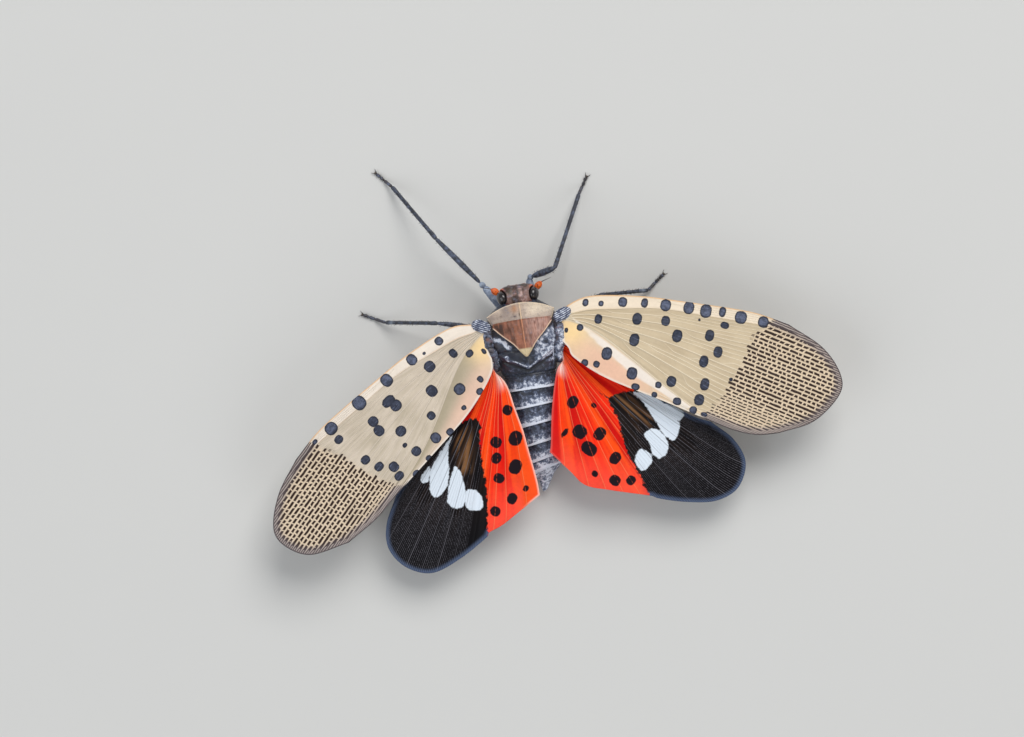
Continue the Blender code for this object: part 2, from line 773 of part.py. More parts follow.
def build():
    clear_scene()
    parts = new_collection(COLLECTION)
    cutters = new_collection(CUTTERS)
    finishes = {name: make_finish(name) for name in FINISHES}
    slate = finishes["thorax_slate"]
    made = [
        make_head(finishes["head_brown"], cutters),
        make_beak(finishes["leg_charcoal"]),
        make_thorax_ring(PROTHORAX_SECTIONS, "prothorax", slate),
        make_thorax_ring(MESOTHORAX_SECTIONS, "mesothorax", slate),
        make_thorax_ring(METATHORAX_SECTIONS, "metathorax", slate),
        make_plate(
            PRONOTUM_FRONT, PRONOTUM_BACK, pronotum_crown, 3, "pronotum", finishes["pronotum_grey"]
        ),
        make_plate(
            MESONOTUM_FRONT, MESONOTUM_BACK, mesonotum_crown, 6, "mesonotum",
            finishes["mesonotum_chestnut"],
        ),
        make_abdomen(finishes["abdomen_slate"]),
    ]
    for side, word in ((1, "left"), (-1, "right")):
        made.append(make_eye(side, word, finishes["eye_black"]))
        made.append(make_antenna(side, word, finishes["antenna_orange"]))
        made += [make_wing(kind, side, word, finishes) for kind in WING_KINDS]
    for name, joints in LEGS.items():
        made.append(make_leg(name, joints, finishes["leg_charcoal"]))
    reference = bpy.data.objects.new("thorax_reference", None)
    reference.location = (THORAX_PLACE[0] * MM, THORAX_PLACE[1] * MM, 0)
    parts.objects.link(reference)
    for obj in made:
        parts.objects.link(obj)
        obj.parent = reference
    for cutter in cutters.objects:
        cutter.parent = reference


build()
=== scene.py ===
"""The looks of a life-size spotted lanternfly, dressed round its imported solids.

Lengths in this script are in millimetres, and MM turns them into metres. The plan of the body is
laid out round a reference point in the middle of the thorax: the head points to -Y, the insect's
left is +X and the floor is z = 0. Each wing has its own plan, x from hinge to tip and y backwards.
"""

import logging
import math
from collections.abc import Sequence
from dataclasses import dataclass, field
from enum import Enum
from itertools import product

import bmesh
import bpy
import numpy as np
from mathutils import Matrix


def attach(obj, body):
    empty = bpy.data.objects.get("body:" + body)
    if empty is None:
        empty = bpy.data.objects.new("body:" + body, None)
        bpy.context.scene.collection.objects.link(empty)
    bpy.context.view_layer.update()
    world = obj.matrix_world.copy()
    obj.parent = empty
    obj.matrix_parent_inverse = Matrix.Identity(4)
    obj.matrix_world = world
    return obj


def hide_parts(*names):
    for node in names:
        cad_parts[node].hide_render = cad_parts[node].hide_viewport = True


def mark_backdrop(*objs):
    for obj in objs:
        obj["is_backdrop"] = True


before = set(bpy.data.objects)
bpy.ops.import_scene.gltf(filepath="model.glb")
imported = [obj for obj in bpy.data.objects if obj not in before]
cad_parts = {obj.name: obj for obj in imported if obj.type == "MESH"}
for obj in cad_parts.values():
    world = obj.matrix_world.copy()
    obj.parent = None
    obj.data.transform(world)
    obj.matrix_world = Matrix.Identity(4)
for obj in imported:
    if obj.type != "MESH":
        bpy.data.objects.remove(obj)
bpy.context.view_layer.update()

LOG = logging.getLogger("lanternfly")
MM = 0.001
THORAX_PLACE = np.array((1.18, -1.6, 0.0))
SPOT_POWER = 2.4
NOISE_VALUES = 4096
NOISE_SCATTER = np.array((73856093, 19349663, 83492791))

Rgb = tuple[float, float, float]
Place = tuple[float, float, float]
Spot = tuple[float, float, float, float]
Outline = Sequence[tuple[float, float]]
Array = np.ndarray
Material = bpy.types.Material
Object = bpy.types.Object
Tree = bpy.types.NodeTree
Node = bpy.types.Node
Socket = bpy.types.NodeSocket


def shade(red: float, green: float, blue: float) -> Rgb:
    """Turns a display colour of 0 to 255 into the linear one that shaders use.

    Args:
        red: Display red.
        green: Display green.
        blue: Display blue.

    Returns:
        The linear colour.
    """
    parts = (np.array((red, green, blue)) / 255.0).clip(0, 1)
    linear = np.where(parts <= 0.04045, parts / 12.92, ((parts + 0.055) / 1.055) ** 2.4)
    return tuple(float(value) for value in linear)


def ease(low: float, high: float, value: Array) -> Array:
    """Rises smoothly from 0 at low to 1 at high.

    Args:
        low: Where the rise starts.
        high: Where it ends.
        value: The values to map.

    Returns:
        The eased share of each value.
    """
    share = np.clip((value - low) / (high - low), 0, 1)
    return share * share * (3 - 2 * share)


def blend(first: Array, second: Rgb, share: Array) -> Array:
    """Mixes a colour into rows of colours.

    Args:
        first: Colours, one row each.
        second: The colour mixed in.
        share: How much of it each row takes.

    Returns:
        The mixed rows.
    """
    return first + (np.array(second) - first) * np.asarray(share)[..., None]


def ground(colour: Rgb, shape: tuple[int, ...]) -> Array:
    """Gives one colour to every place of a grid.

    Args:
        colour: The colour.
        shape: The shape of the grid.

    Returns:
        The colours, with their three values last.
    """
    return np.tile(np.array(colour), (*shape, 1))


def hump(value: Array, centre: float, width: float) -> Array:
    """A smooth bump of height 1 round a centre."""
    return np.exp(-(((value - centre) / width) ** 2))


def curve_through(points: Sequence[Sequence[float]], count: int) -> Array:
    """Points spread evenly along a smooth curve that passes through the given ones.

    Args:
        points: The points passed through.
        count: How many equal steps the curve is cut into.

    Returns:
        count + 1 points.
    """
    through = np.array(points, float)
    ends = np.vstack((2 * through[0] - through[1], through, 2 * through[-1] - through[-2]))
    t = np.linspace(0, 1, 24, endpoint=False)[:, None]
    pieces = []
    for a, b, c, d in zip(ends, ends[1:], ends[2:], ends[3:]):
        curve = 2 * b + (c - a) * t + (2 * a - 5 * b + 4 * c - d) * t**2
        pieces.append(0.5 * (curve + (3 * b - a - 3 * c + d) * t**3))
    dense = np.vstack((*pieces, through[-1:]))
    return spread(dense, count)


def spread(line: Array, count: int) -> Array:
    """Resamples a line of points into equal steps.

    Args:
        line: The points along the line.
        count: How many steps.

    Returns:
        count + 1 points.
    """
    steps = np.linalg.norm(np.diff(line, axis=0), axis=1)
    lengths = np.concatenate(([0], np.cumsum(steps)))
    goals = np.linspace(0, lengths[-1], count + 1)
    return np.stack([np.interp(goals, lengths, axis) for axis in line.T], axis=1)


def outline_distance(points: Array, outline: Outline) -> Array:
    """Signed distance from points to a closed outline, negative inside.

    Args:
        points: Plan points, one row each.
        outline: The corners of the outline.

    Returns:
        One distance for each point.
    """
    corners = np.array(outline, float)
    best = np.full(len(points), 1e9)
    inside = np.zeros(len(points), bool)
    for a, b in zip(corners, np.roll(corners, -1, axis=0)):
        edge = b - a
        rel = points - a
        share = np.clip(rel @ edge / max(edge @ edge, 1e-12), 0, 1)
        best = np.minimum(best, np.hypot(*(rel - share[:, None] * edge).T))
        crosses = (a[1] > points[:, 1]) != (b[1] > points[:, 1])
        if a[1] != b[1]:
            at = a[0] + (points[:, 1] - a[1]) * edge[0] / edge[1]
            inside ^= crosses & (points[:, 0] < at)
    return np.where(inside, -best, best)


def rounded(outline: Outline) -> Array:
    """A closed outline with its corners rounded off."""
    count = len(outline)
    around = curve_through([*outline, *outline, *outline], 36 * count)
    return around[12 * count : 24 * count]


def spot_distance(points: Array, spots: Sequence[Spot]) -> Array:
    """Distance to the nearest of several oval spots, negative inside.

    Args:
        points: Plan points, one row each.
        spots: Centre x, centre y and the two half widths of each spot.

    Returns:
        One distance for each point.
    """
    best = np.full(len(points), 9.0)
    for x, y, half_x, half_y in spots:
        across = np.abs((points[:, 0] - x) / half_x)
        along = np.abs((points[:, 1] - y) / half_y)
        reach = (across**SPOT_POWER + along**SPOT_POWER) ** (1 / SPOT_POWER)
        best = np.minimum(best, (reach - 1) * min(half_x, half_y))
    return best


def value_noise(places: Array, size: float, seed: int) -> Array:
    """Smooth random values from -1 to 1.

    Args:
        places: Places, with their three coordinates last.
        size: How far apart the bumps lie.
        seed: Which random table is used.

    Returns:
        One value for each place.
    """
    table = np.random.default_rng(seed).uniform(-1, 1, NOISE_VALUES)
    grid = places / size
    cell = np.floor(grid).astype(np.int64)
    share = grid - cell
    share = share * share * (3 - 2 * share)
    total = np.zeros(grid.shape[:-1])
    for corner in product((0, 1), repeat=3):
        key = np.bitwise_xor.reduce((cell + np.array(corner)) * NOISE_SCATTER, axis=-1) % NOISE_VALUES
        total += table[key] * np.where(corner, share, 1 - share).prod(axis=-1)
    return total


def level_places(x: Array, y: Array) -> Array:
    """Places on the level plane.

    Args:
        x: Their first coordinates.
        y: Their second coordinates.

    Returns:
        The places, with their three coordinates last.
    """
    return np.stack([x, y, 0 * x], axis=-1)


@dataclass
class Draft:
    """A mesh in the making, in millimetres of the body's plan."""

    points: Array
    faces: list[Array]
    floats: dict[str, Array] = field(default_factory=dict)
    colours: dict[str, Array] = field(default_factory=dict)

    def tinted(self, colour: Rgb, wax: float = 0.0) -> "Draft":
        """Gives every point one colour and one amount of wax.

        Args:
            colour: The linear colour.
            wax: The amount of wax, 0 to 1.

        Returns:
            The draft itself.
        """
        self.colours["tint"] = ground(colour, (len(self.points),))
        self.floats["wax"] = np.full(len(self.points), float(wax))
        return self

    def to_object(self, name: str, material: Material) -> Object:
        """Makes the linked Blender object.

        Args:
            name: The piece's name.
            material: Its material.

        Returns:
            The object, placed in the part's frame.
        """
        mesh = bpy.data.meshes.new(name)
        corners = np.concatenate([rows.ravel() for rows in self.faces]).astype(np.int32)
        sizes = np.concatenate([np.full(len(rows), rows.shape[1]) for rows in self.faces])
        starts = np.concatenate(([0], np.cumsum(sizes)[:-1])).astype(np.int32)
        mesh.vertices.add(len(self.points))
        placed = (self.points + THORAX_PLACE) * MM
        mesh.vertices.foreach_set("co", placed.astype(np.float32).ravel())
        mesh.loops.add(len(corners))
        mesh.loops.foreach_set("vertex_index", corners)
        mesh.polygons.add(len(sizes))
        mesh.polygons.foreach_set("loop_start", starts)
        mesh.update(calc_edges=True)
        mesh.validate()
        for label, values in self.floats.items():
            layer = mesh.attributes.new(label, "FLOAT", "POINT")
            layer.data.foreach_set("value", values.astype(np.float32).ravel())
        for label, values in self.colours.items():
            layer = mesh.attributes.new(label, "FLOAT_COLOR", "POINT")
            rgba = np.hstack((values, np.ones((len(values), 1))))
            layer.data.foreach_set("color", rgba.astype(np.float32).ravel())
        draft = bmesh.new()
        draft.from_mesh(mesh)
        bmesh.ops.recalc_face_normals(draft, faces=draft.faces)
        draft.to_mesh(mesh)
        draft.free()
        mesh.shade_smooth()
        mesh.materials.append(material)
        obj = bpy.data.objects.new(name, mesh)
        bpy.context.scene.collection.objects.link(obj)
        return obj


def joined(drafts: Sequence[Draft]) -> Draft:
    """Puts several drafts into one mesh.

    Args:
        drafts: Drafts with the same layers.

    Returns:
        The joined draft.
    """
    faces: list[Array] = []
    start = 0
    for draft in drafts:
        faces += [rows + start for rows in draft.faces]
        start += len(draft.points)
    return Draft(
        np.vstack([draft.points for draft in drafts]),
        faces,
        {key: np.concatenate([d.floats[key] for d in drafts]) for key in drafts[0].floats},
        {key: np.vstack([d.colours[key] for d in drafts]) for key in drafts[0].colours},
    )


def grid_quads(rows: int, columns: int, wrap: bool = False) -> Array:
    """Corner numbers of the quads of a grid of points.

    Args:
        rows: Rows of points.
        columns: Points in each row.
        wrap: Whether each row closes on itself.

    Returns:
        One row of four numbers for each quad.
    """
    row = np.arange(rows - 1)[:, None] * columns
    here = np.arange(columns if wrap else columns - 1)[None, :]
    after = (here + 1) % columns
    corners = (row + here, row + after, row + columns + after, row + columns + here)
    return np.stack([part.ravel() for part in corners], axis=1)


def loft(rings: Array) -> Draft:
    """A closed solid through rings of points, with a fan over each end.

    Args:
        rings: Points, by ring and place round the ring.

    Returns:
        The draft.
    """
    count, sides, _ = rings.shape
    points = np.vstack((rings.reshape(-1, 3), rings[0].mean(axis=0), rings[-1].mean(axis=0)))
    here = np.arange(sides)
    after = (here + 1) % sides
    last = (count - 1) * sides
    front = np.stack((after, here, np.full(sides, count * sides)), axis=1)
    back = np.stack((here + last, after + last, np.full(sides, count * sides + 1)), axis=1)
    return Draft(points, [grid_quads(count, sides, wrap=True), front, back])


def closed_sheet(upper: Array, lower: Array) -> Draft:
    """A closed thin sheet between two grids of points.

    Args:
        upper: Points of the upper face, by row and column.
        lower: Points of the lower face, laid out alike.

    Returns:
        The draft, with the upper face's points first.
    """
    rows, columns, _ = upper.shape
    count = rows * columns
    quads = grid_quads(rows, columns)
    index = np.arange(count).reshape(rows, columns)
    sides = (index[0, :], index[1:, -1], index[-1, -2::-1], index[-2:0:-1, 0])
    rim = np.concatenate(sides)
    after = np.roll(rim, -1)
    wall = np.stack((rim, rim + count, after + count, after), axis=1)
    points = np.vstack((upper.reshape(-1, 3), lower.reshape(-1, 3)))
    return Draft(points, [quads, quads[:, ::-1] + count, wall])


def tube_frames(path: Array) -> tuple[Array, Array]:
    """Two directions square to a path at each of its points.

    Args:
        path: The points of the path.

    Returns:
        The level direction and the one square to it, at each point.
    """
    along = np.gradient(path, axis=0)
    along /= np.linalg.norm(along, axis=1)[:, None]
    side = np.cross(along, (0, 0, 1.0))
    steep = np.linalg.norm(side, axis=1) < 0.2
    side[steep] = np.cross(along[steep], (0, 1.0, 0))
    side /= np.linalg.norm(side, axis=1)[:, None]
    return side, np.cross(side, along)


def tube(path: Array, radii: Array, sides: int = 20, flat: float = 1.0, ribs: float = 0.0) -> Draft:
    """A closed round bar along a path.

    Args:
        path: The points of the path.
        radii: The radius at each point.
        sides: Points round the bar.
        flat: How thick the bar is sideways, as a share of its height.
        ribs: Depth of five ribs along it, as a share of the radius.

    Returns:
        The draft.
    """
    side, up = tube_frames(path)
    angle = np.linspace(0, 2 * math.pi, sides, endpoint=False)
    reach = radii[:, None] * (1 + ribs * np.cos(5 * angle))[None, :]
    across = (reach * np.cos(angle) * flat)[..., None] * side[:, None, :]
    high = (reach * np.sin(angle))[..., None] * up[:, None, :]
    return loft(path[:, None, :] + across + high)


def ball(centre: Array | Place, radii: Array | Place, turn: Array | None = None, detail: int = 48) -> Draft:
    """An egg-shaped solid.

    Args:
        centre: Its middle.
        radii: Its three half widths.
        turn: The rotation that is applied about its middle.
        detail: Points round it.

    Returns:
        The draft.
    """
    lift = np.linspace(-math.pi / 2, math.pi / 2, detail // 2)[1:-1]
    angle = np.linspace(0, 2 * math.pi, detail, endpoint=False)
    flat = np.cos(lift)[:, None]
    x = flat * np.cos(angle)
    y = flat * np.sin(angle)
    z = np.broadcast_to(np.sin(lift)[:, None], x.shape)
    rings = np.stack((x, y, z), axis=-1) * np.array(radii)
    if turn is not None:
        rings = rings @ turn.T
    return loft(rings + np.array(centre))


def turned(about_x: float = 0.0, about_y: float = 0.0, about_z: float = 0.0) -> Array:
    """A rotation about X, then Y, then Z, from angles in degrees.

    Args:
        about_x: Angle about X.
        about_y: Angle about Y.
        about_z: Angle about Z.

    Returns:
        The 3 by 3 matrix.
    """
    a, b, c = np.radians((about_x, about_y, about_z))
    rx = np.array(((1, 0, 0), (0, np.cos(a), -np.sin(a)), (0, np.sin(a), np.cos(a))))
    ry = np.array(((np.cos(b), 0, np.sin(b)), (0, 1, 0), (-np.sin(b), 0, np.cos(b))))
    rz = np.array(((np.cos(c), -np.sin(c), 0), (np.sin(c), np.cos(c), 0), (0, 0, 1)))
    return rz @ ry @ rx


def place(draft: Draft, name: str, material: Material, slot: str, *nodes: str) -> Object:
    """Makes a piece, which rides on the body and stands for its solids.

    Args:
        draft: Its mesh.
        name: Its name.
        material: Its material.
        slot: The record's material slot; not used.
        *nodes: The solids that it stands for.

    Returns:
        The piece.
    """
    obj = draft.to_object(name, material)
    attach(obj, "root")
    if nodes:
        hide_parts(*nodes)
    LOG.info("%s: %d points", obj.name, len(obj.data.vertices))
    return obj


class Graph:
    """Writes the nodes of one shader tree."""

    def __init__(self, tree: Tree) -> None:
        """Keeps the tree that is written to."""
        self.tree = tree

    def node(self, kind: str, feeds: dict | None = None, **settings: object) -> Node:
        """Adds a node.

        Args:
            kind: Blender's name for the node's type.
            feeds: What each of its inputs takes: a value or another node's output.
            **settings: The node's own settings.

        Returns:
            The node.
        """
        made = self.tree.nodes.new(kind)
        for key, value in settings.items():
            setattr(made, key, value)
        for key, value in (feeds or {}).items():
            self.feed(made.inputs[key], value)
        return made

    def feed(self, socket: Socket, value: object) -> None:
        """Links an output into a socket, or sets the socket's value.

        Args:
            socket: The input.
            value: An output, a number or a colour.
        """
        if isinstance(value, Socket):
            self.tree.links.new(value, socket)
        elif socket.type == "RGBA" and len(value) == 3:
            socket.default_value = (*value, 1.0)
        else:
            socket.default_value = value

    def math(self, operation: str, *values: object) -> Socket:
        """Adds a sum, product or other operation."""
        return self.node("ShaderNodeMath", dict(enumerate(values)), operation=operation).outputs[0]

    def times(self, first: object, second: object) -> Socket:
        """One value times another."""
        return self.math("MULTIPLY", first, second)

    def scaled(self, value: object, factor: object, start: object) -> Socket:
        """A value times a factor, plus a start."""
        return self.math("MULTIPLY_ADD", value, factor, start)

    def plus(self, first: object, second: object) -> Socket:
        """The sum of two values."""
        return self.math("ADD", first, second)

    def minus(self, first: object, second: object) -> Socket:
        """The first value less the second."""
        return self.math("SUBTRACT", first, second)

    def most(self, first: object, second: object) -> Socket:
        """The larger of two values."""
        return self.math("MAXIMUM", first, second)

    def random(self, *place_at: object) -> Socket:
        """A steady chance value, 0 to 1, for one or two whole numbers."""
        if len(place_at) == 1:
            made = self.node("ShaderNodeTexWhiteNoise", {"W": place_at[0]}, noise_dimensions="1D")
        else:
            spot = self.node("ShaderNodeCombineXYZ", dict(enumerate(place_at))).outputs[0]
            made = self.node("ShaderNodeTexWhiteNoise", {"Vector": spot}, noise_dimensions="2D")
        return made.outputs["Value"]

    def shaded(self, colour: object, value: Socket) -> Socket:
        """A colour, made lighter or darker by a value."""
        grey = self.node("ShaderNodeCombineColor", {part: value for part in range(3)}).outputs[0]
        return self.mix(1.0, colour, grey, "MULTIPLY")

    def mix(self, share: object, first: object, second: object, how: str = "MIX") -> Socket:
        """Mixes two colours."""
        feeds = {0: share, 6: first, 7: second}
        return self.node("ShaderNodeMix", feeds, data_type="RGBA", blend_type=how).outputs[2]

    def ease(self, value: Socket, low: object, high: object, start: float = 0.0, end: float = 1.0) -> Socket:
        """Maps a value smoothly from one range to another."""
        feeds = {0: value, 1: low, 2: high, 3: start, 4: end}
        return self.node("ShaderNodeMapRange", feeds, interpolation_type="SMOOTHSTEP").outputs[0]

    def noise(self, scale: object, detail: float = 3.0, rough: float = 0.6) -> Socket:
        """Adds noise that stays with the object.

        Args:
            scale: Bumps in a metre.
            detail: How many finer layers it has.
            rough: How strong they are.

        Returns:
            Values of about 0 to 1.
        """
        place_of = self.node("ShaderNodeTexCoord").outputs["Object"]
        feeds = {"Vector": place_of, "Scale": scale, "Detail": detail, "Roughness": rough}
        return self.node("ShaderNodeTexNoise", feeds).outputs[0]

    def layer(self, name: str) -> Socket:
        """The value of a mesh's number layer."""
        return self.node("ShaderNodeAttribute", attribute_name=name).outputs["Fac"]

    def colour_layer(self, name: str) -> Socket:
        """The value of a mesh's colour layer."""
        return self.node("ShaderNodeAttribute", attribute_name=name).outputs["Color"]

    def effect(self, group: Tree, **values: object) -> dict[str, Socket]:
        """Places a node group.

        Args:
            group: The group.
            **values: What its inputs take, by name.

        Returns:
            Its outputs, by name.
        """
        made = self.node("ShaderNodeGroup", node_tree=group)
        for key, value in values.items():
            self.feed(made.inputs[key], value)
        return {out.name: out for out in made.outputs}


def new_effect(name: str, inputs: dict[str, float], outputs: Sequence[str]) -> tuple[Tree, Graph, dict, dict]:
    """Starts a node group.

    Args:
        name: The group's name.
        inputs: Its numeric inputs and their defaults.
        outputs: Its numeric outputs.

    Returns:
        The group, its graph, its inputs by name, and its output sockets by name.
    """
    tree = bpy.data.node_groups.new(name, "ShaderNodeTree")
    for label, value in inputs.items():
        socket = tree.interface.new_socket(label, in_out="INPUT", socket_type="NodeSocketFloat")
        socket.default_value = value
    for label in outputs:
        tree.interface.new_socket(label, in_out="OUTPUT", socket_type="NodeSocketFloat")
    graph = Graph(tree)
    given = graph.node("NodeGroupInput")
    taken = graph.node("NodeGroupOutput")
    return tree, graph, {out.name: out for out in given.outputs}, {s.name: s for s in taken.inputs}


WAVE = 12.9898
ONSET_SPREAD = 0.05
GROWTH = 0.06


def row_wave(row: Array) -> Array:
    """A steady but uneven value from -1 to 1 for each row."""
    return np.sin(row * WAVE)


@dataclass(frozen=True)
class Branch:
    """A family of veins: in each gap between stems, where one leaves and where it ends up."""

    spacing: float
    leaves: float
    joins: float
    onset: float


FORE_STEM = 6.0
HIND_STEM = 8.0
FORE_BRANCHES = (
    Branch(FORE_STEM, 0.0, 1 / 2, 0.17),
    Branch(FORE_STEM, 1 / 2, 2 / 3, 0.35),
    Branch(FORE_STEM, 0.0, 1 / 3, 0.41),
    Branch(FORE_STEM, 1 / 3, 1 / 6, 0.5),
    Branch(FORE_STEM, 1.0, 5 / 6, 0.54),
)
HIND_FORK = Branch(HIND_STEM, 0.0, 0.5, 0.3)
HIND_TWIGS = (Branch(4.0, 0.0, 0.5, 0.42), Branch(2.0, 0.0, 0.5, 0.52), Branch(1.0, 0.0, 0.5, 0.66))
CELL_LENGTH = 0.42
LANE_SLOPE = 0.17
LANE_WIDTH, HIND_LANE_WIDTH = 0.285, 0.2
FAN_ROW = 32
TWIG_END = 38


class Effects:
    """The node groups that more than one finish uses, each built once."""

    def __init__(self) -> None:
        """Builds them all."""
        self.marking = self.make_marking()
        self.branch = self.make_branch()
        self.bloom = self.make_bloom()
        self.grain = self.make_grain()

    def make_marking(self) -> Tree:
        """A marking with a slightly ragged edge, from the distance to that edge.

        Returns:
            The group.
        """
        inputs = {"Distance": 0.0, "Ragged": 0.05, "Soft": 0.03, "Scale": 4000.0}
        tree, graph, given, taken = new_effect("marking", inputs, ("Mask",))
        noise = graph.minus(graph.noise(given["Scale"], 2.0), 0.5)
        wander = graph.times(noise, given["Ragged"])
        distance = graph.scaled(wander, 4.0, given["Distance"])
        low = graph.times(given["Soft"], -1.0)
        graph.feed(taken["Mask"], graph.ease(distance, low, given["Soft"], 1.0, 0.0))
        return tree

    def make_branch(self) -> Tree:
        """Veins that leave share From of each gap of Spacing rows at Onset, for share To.

        Returns:
            The group.
        """
        inputs = {"Row": 0.0, "Pitch": 0.2, "Age": 0.0, "Spacing": 8.0}
        inputs |= {"From": 0.0, "To": 0.5, "Onset": 0.2, "Width": 0.03}
        tree, graph, given, taken = new_effect("vein_branch", inputs, ("Mask",))
        parent = graph.math("FLOOR", graph.math("DIVIDE", given["Row"], given["Spacing"]))
        parent = graph.times(parent, given["Spacing"])
        wave = graph.math("SINE", graph.times(parent, WAVE))
        start = graph.scaled(wave, ONSET_SPREAD, given["Onset"])
        grown = graph.ease(given["Age"], start, graph.plus(start, GROWTH))
        travel = graph.minus(given["To"], given["From"])
        share = graph.scaled(travel, grown, given["From"])
        line = graph.scaled(given["Spacing"], share, parent)
        off = graph.math("ABSOLUTE", graph.minus(given["Row"], line))
        distance = graph.times(off, given["Pitch"])
        wide = graph.times(given["Width"], 1.5)
        mask = graph.ease(distance, graph.times(given["Width"], 0.6), wide, 1.0, 0.0)
        graph.feed(taken["Mask"], graph.times(mask, grown))
        return tree

    def make_bloom(self) -> Tree:
        """Powdery wax, a thin veil and a thick crust, that covers more the higher Amount is.

        Returns:
            The group.
        """
        inputs = {"Amount": 0.0, "Scale": 3000.0}
        tree, graph, given, taken = new_effect("wax_bloom", inputs, ("Veil", "Crust", "Height"))
        coarse = graph.noise(given["Scale"], 5.0, 0.7)
        spreading = graph.scaled(graph.minus(coarse, 0.5), 1.5, 0.5)
        level = graph.minus(1.0, given["Amount"])
        veil = graph.ease(spreading, graph.minus(level, 0.3), graph.plus(level, 0.12))
        crust = graph.ease(spreading, graph.minus(level, 0.02), graph.plus(level, 0.26))
        fine = graph.noise(graph.times(given["Scale"], 6.0), 2.0)
        graph.feed(taken["Veil"], veil)
        graph.feed(taken["Crust"], crust)
        graph.feed(taken["Height"], graph.times(crust, fine))
        return tree

    def make_grain(self) -> Tree:
        """Fine grain of a hard skin: a shade variation and a height.

        Returns:
            The group.
        """
        inputs = {"Scale": 9000.0, "Contrast": 0.3}
        tree, graph, given, taken = new_effect("skin_grain", inputs, ("Value", "Height"))
        fine = graph.noise(given["Scale"], 4.0, 0.7)
        broad = graph.noise(graph.times(given["Scale"], 0.2), 3.0)
        both = graph.plus(fine, broad)
        centred = graph.minus(both, 1.0)
        graph.feed(taken["Value"], graph.scaled(centred, given["Contrast"], 1.0))
        graph.feed(taken["Height"], fine)
        return tree


def new_material(name: str) -> tuple[Material, Graph, Node]:
    """Starts a material.

    Args:
        name: Its name.

    Returns:
        The material, its graph and its Principled shader.
    """
    material = bpy.data.materials.new(name)
    material.use_nodes = True
    return material, Graph(material.node_tree), material.node_tree.nodes["Principled BSDF"]


def bump(graph: Graph, shader: Node, height: Socket, depth: float) -> None:
    """Feeds a height into a shader's normal.

    Args:
        graph: The material's graph.
        shader: Its shader.
        height: The height, about 0 to 1.
        depth: How deep a height of 1 is, in millimetres.
    """
    feeds = {"Height": height, "Distance": depth * MM, "Strength": 1.0}
    graph.feed(shader.inputs["Normal"], graph.node("ShaderNodeBump", feeds).outputs[0])


WAX = shade(222, 228, 242)
WAX_VEIL = shade(112, 124, 152)


@dataclass(frozen=True)
class CuticleFinish:
    """Hard skin in the colours of its tint layer, mottled, with wax on it."""

    name: str
    roughness: float = 0.45
    contrast: float = 0.5
    grain: float = 9000.0
    grain_depth: float = 0.01
    wax: Rgb = WAX
    veil: Rgb = WAX_VEIL
    wax_scale: float = 3500.0
    wax_depth: float = 0.03
    coat: float = 0.0

    def make(self, effects: Effects) -> Material:
        """Builds the material.

        Args:
            effects: The shared node groups.

        Returns:
            The material.
        """
        material, graph, shader = new_material(self.name)
        grain = graph.effect(effects.grain, Scale=self.grain, Contrast=self.contrast)
        bloom = graph.effect(effects.bloom, Amount=graph.layer("wax"), Scale=self.wax_scale)
        skin = graph.shaded(graph.colour_layer("tint"), grain["Value"])
        veiled = graph.mix(graph.times(bloom["Veil"], 0.75), skin, self.veil)
        graph.feed(shader.inputs["Base Color"], graph.mix(bloom["Crust"], veiled, self.wax))
        rough = graph.ease(bloom["Veil"], 0.0, 1.0, self.roughness, 0.8)
        graph.feed(shader.inputs["Roughness"], rough)
        scaled = graph.times(grain["Height"], self.grain_depth)
        height = graph.scaled(bloom["Height"], self.wax_depth, scaled)
        bump(graph, shader, height, 1.0)
        shader.inputs["Coat Weight"].default_value = self.coat
        shader.inputs["Coat Roughness"].default_value = 0.2
        return material


@dataclass(frozen=True)
class EyeFinish:
    """A glossy black compound eye, with its facets."""

    name: str = "eye_gloss"
    dark: Rgb = shade(14, 13, 16)
    sheen: Rgb = shade(46, 38, 40)
    facet: float = 22000.0

    def make(self, effects: Effects) -> Material:
        """Builds the material.

        Args:
            effects: The shared node groups.

        Returns:
            The material.
        """
        material, graph, shader = new_material(self.name)
        clouds = graph.effect(effects.grain, Scale=2500.0, Contrast=1.0)
        colour = graph.mix(graph.minus(clouds["Value"], 0.6), self.dark, self.sheen)
        graph.feed(shader.inputs["Base Color"], colour)
        spot = graph.node("ShaderNodeTexCoord").outputs["Object"]
        cells = graph.node("ShaderNodeTexVoronoi", {"Vector": spot, "Scale": self.facet})
        bump(graph, shader, cells.outputs["Distance"], -0.0015)
        shader.inputs["Roughness"].default_value = 0.24
        shader.inputs["Coat Weight"].default_value = 0.6
        shader.inputs["Coat Roughness"].default_value = 0.06
        return material


def line_distance(graph: Graph, row: Socket, pitch: Socket, spacing: float) -> Socket:
    """Distance in a shader to the nearest row that is a multiple of a spacing.

    Args:
        graph: The material's graph.
        row: The row.
        pitch: Millimetres to a row.
        spacing: Rows between the lines.

    Returns:
        Millimetres.
    """
    turn = graph.math("FRACT", graph.scaled(row, 1 / spacing, 0.5))
    off = graph.math("ABSOLUTE", graph.minus(turn, 0.5))
    return graph.times(graph.times(off, spacing), pitch)


def branch_mask(
    graph: Graph, effects: Effects, layers: tuple[Socket, Socket, Socket], branch: Branch, width: float
) -> Socket:
    """Places the branch effect.

    Args:
        graph: The material's graph.
        effects: The shared node groups.
        layers: The row, pitch and age layers.
        branch: Where the veins run.
        width: Half their width.

    Returns:
        The veins' mask.
    """
    row, pitch, age = layers
    feeds = {"Row": row, "Pitch": pitch, "Age": age, "Width": width, "Onset": branch.onset}
    feeds |= {"Spacing": branch.spacing, "From": branch.leaves, "To": branch.joins}
    return graph.effect(effects.branch, **feeds)["Mask"]


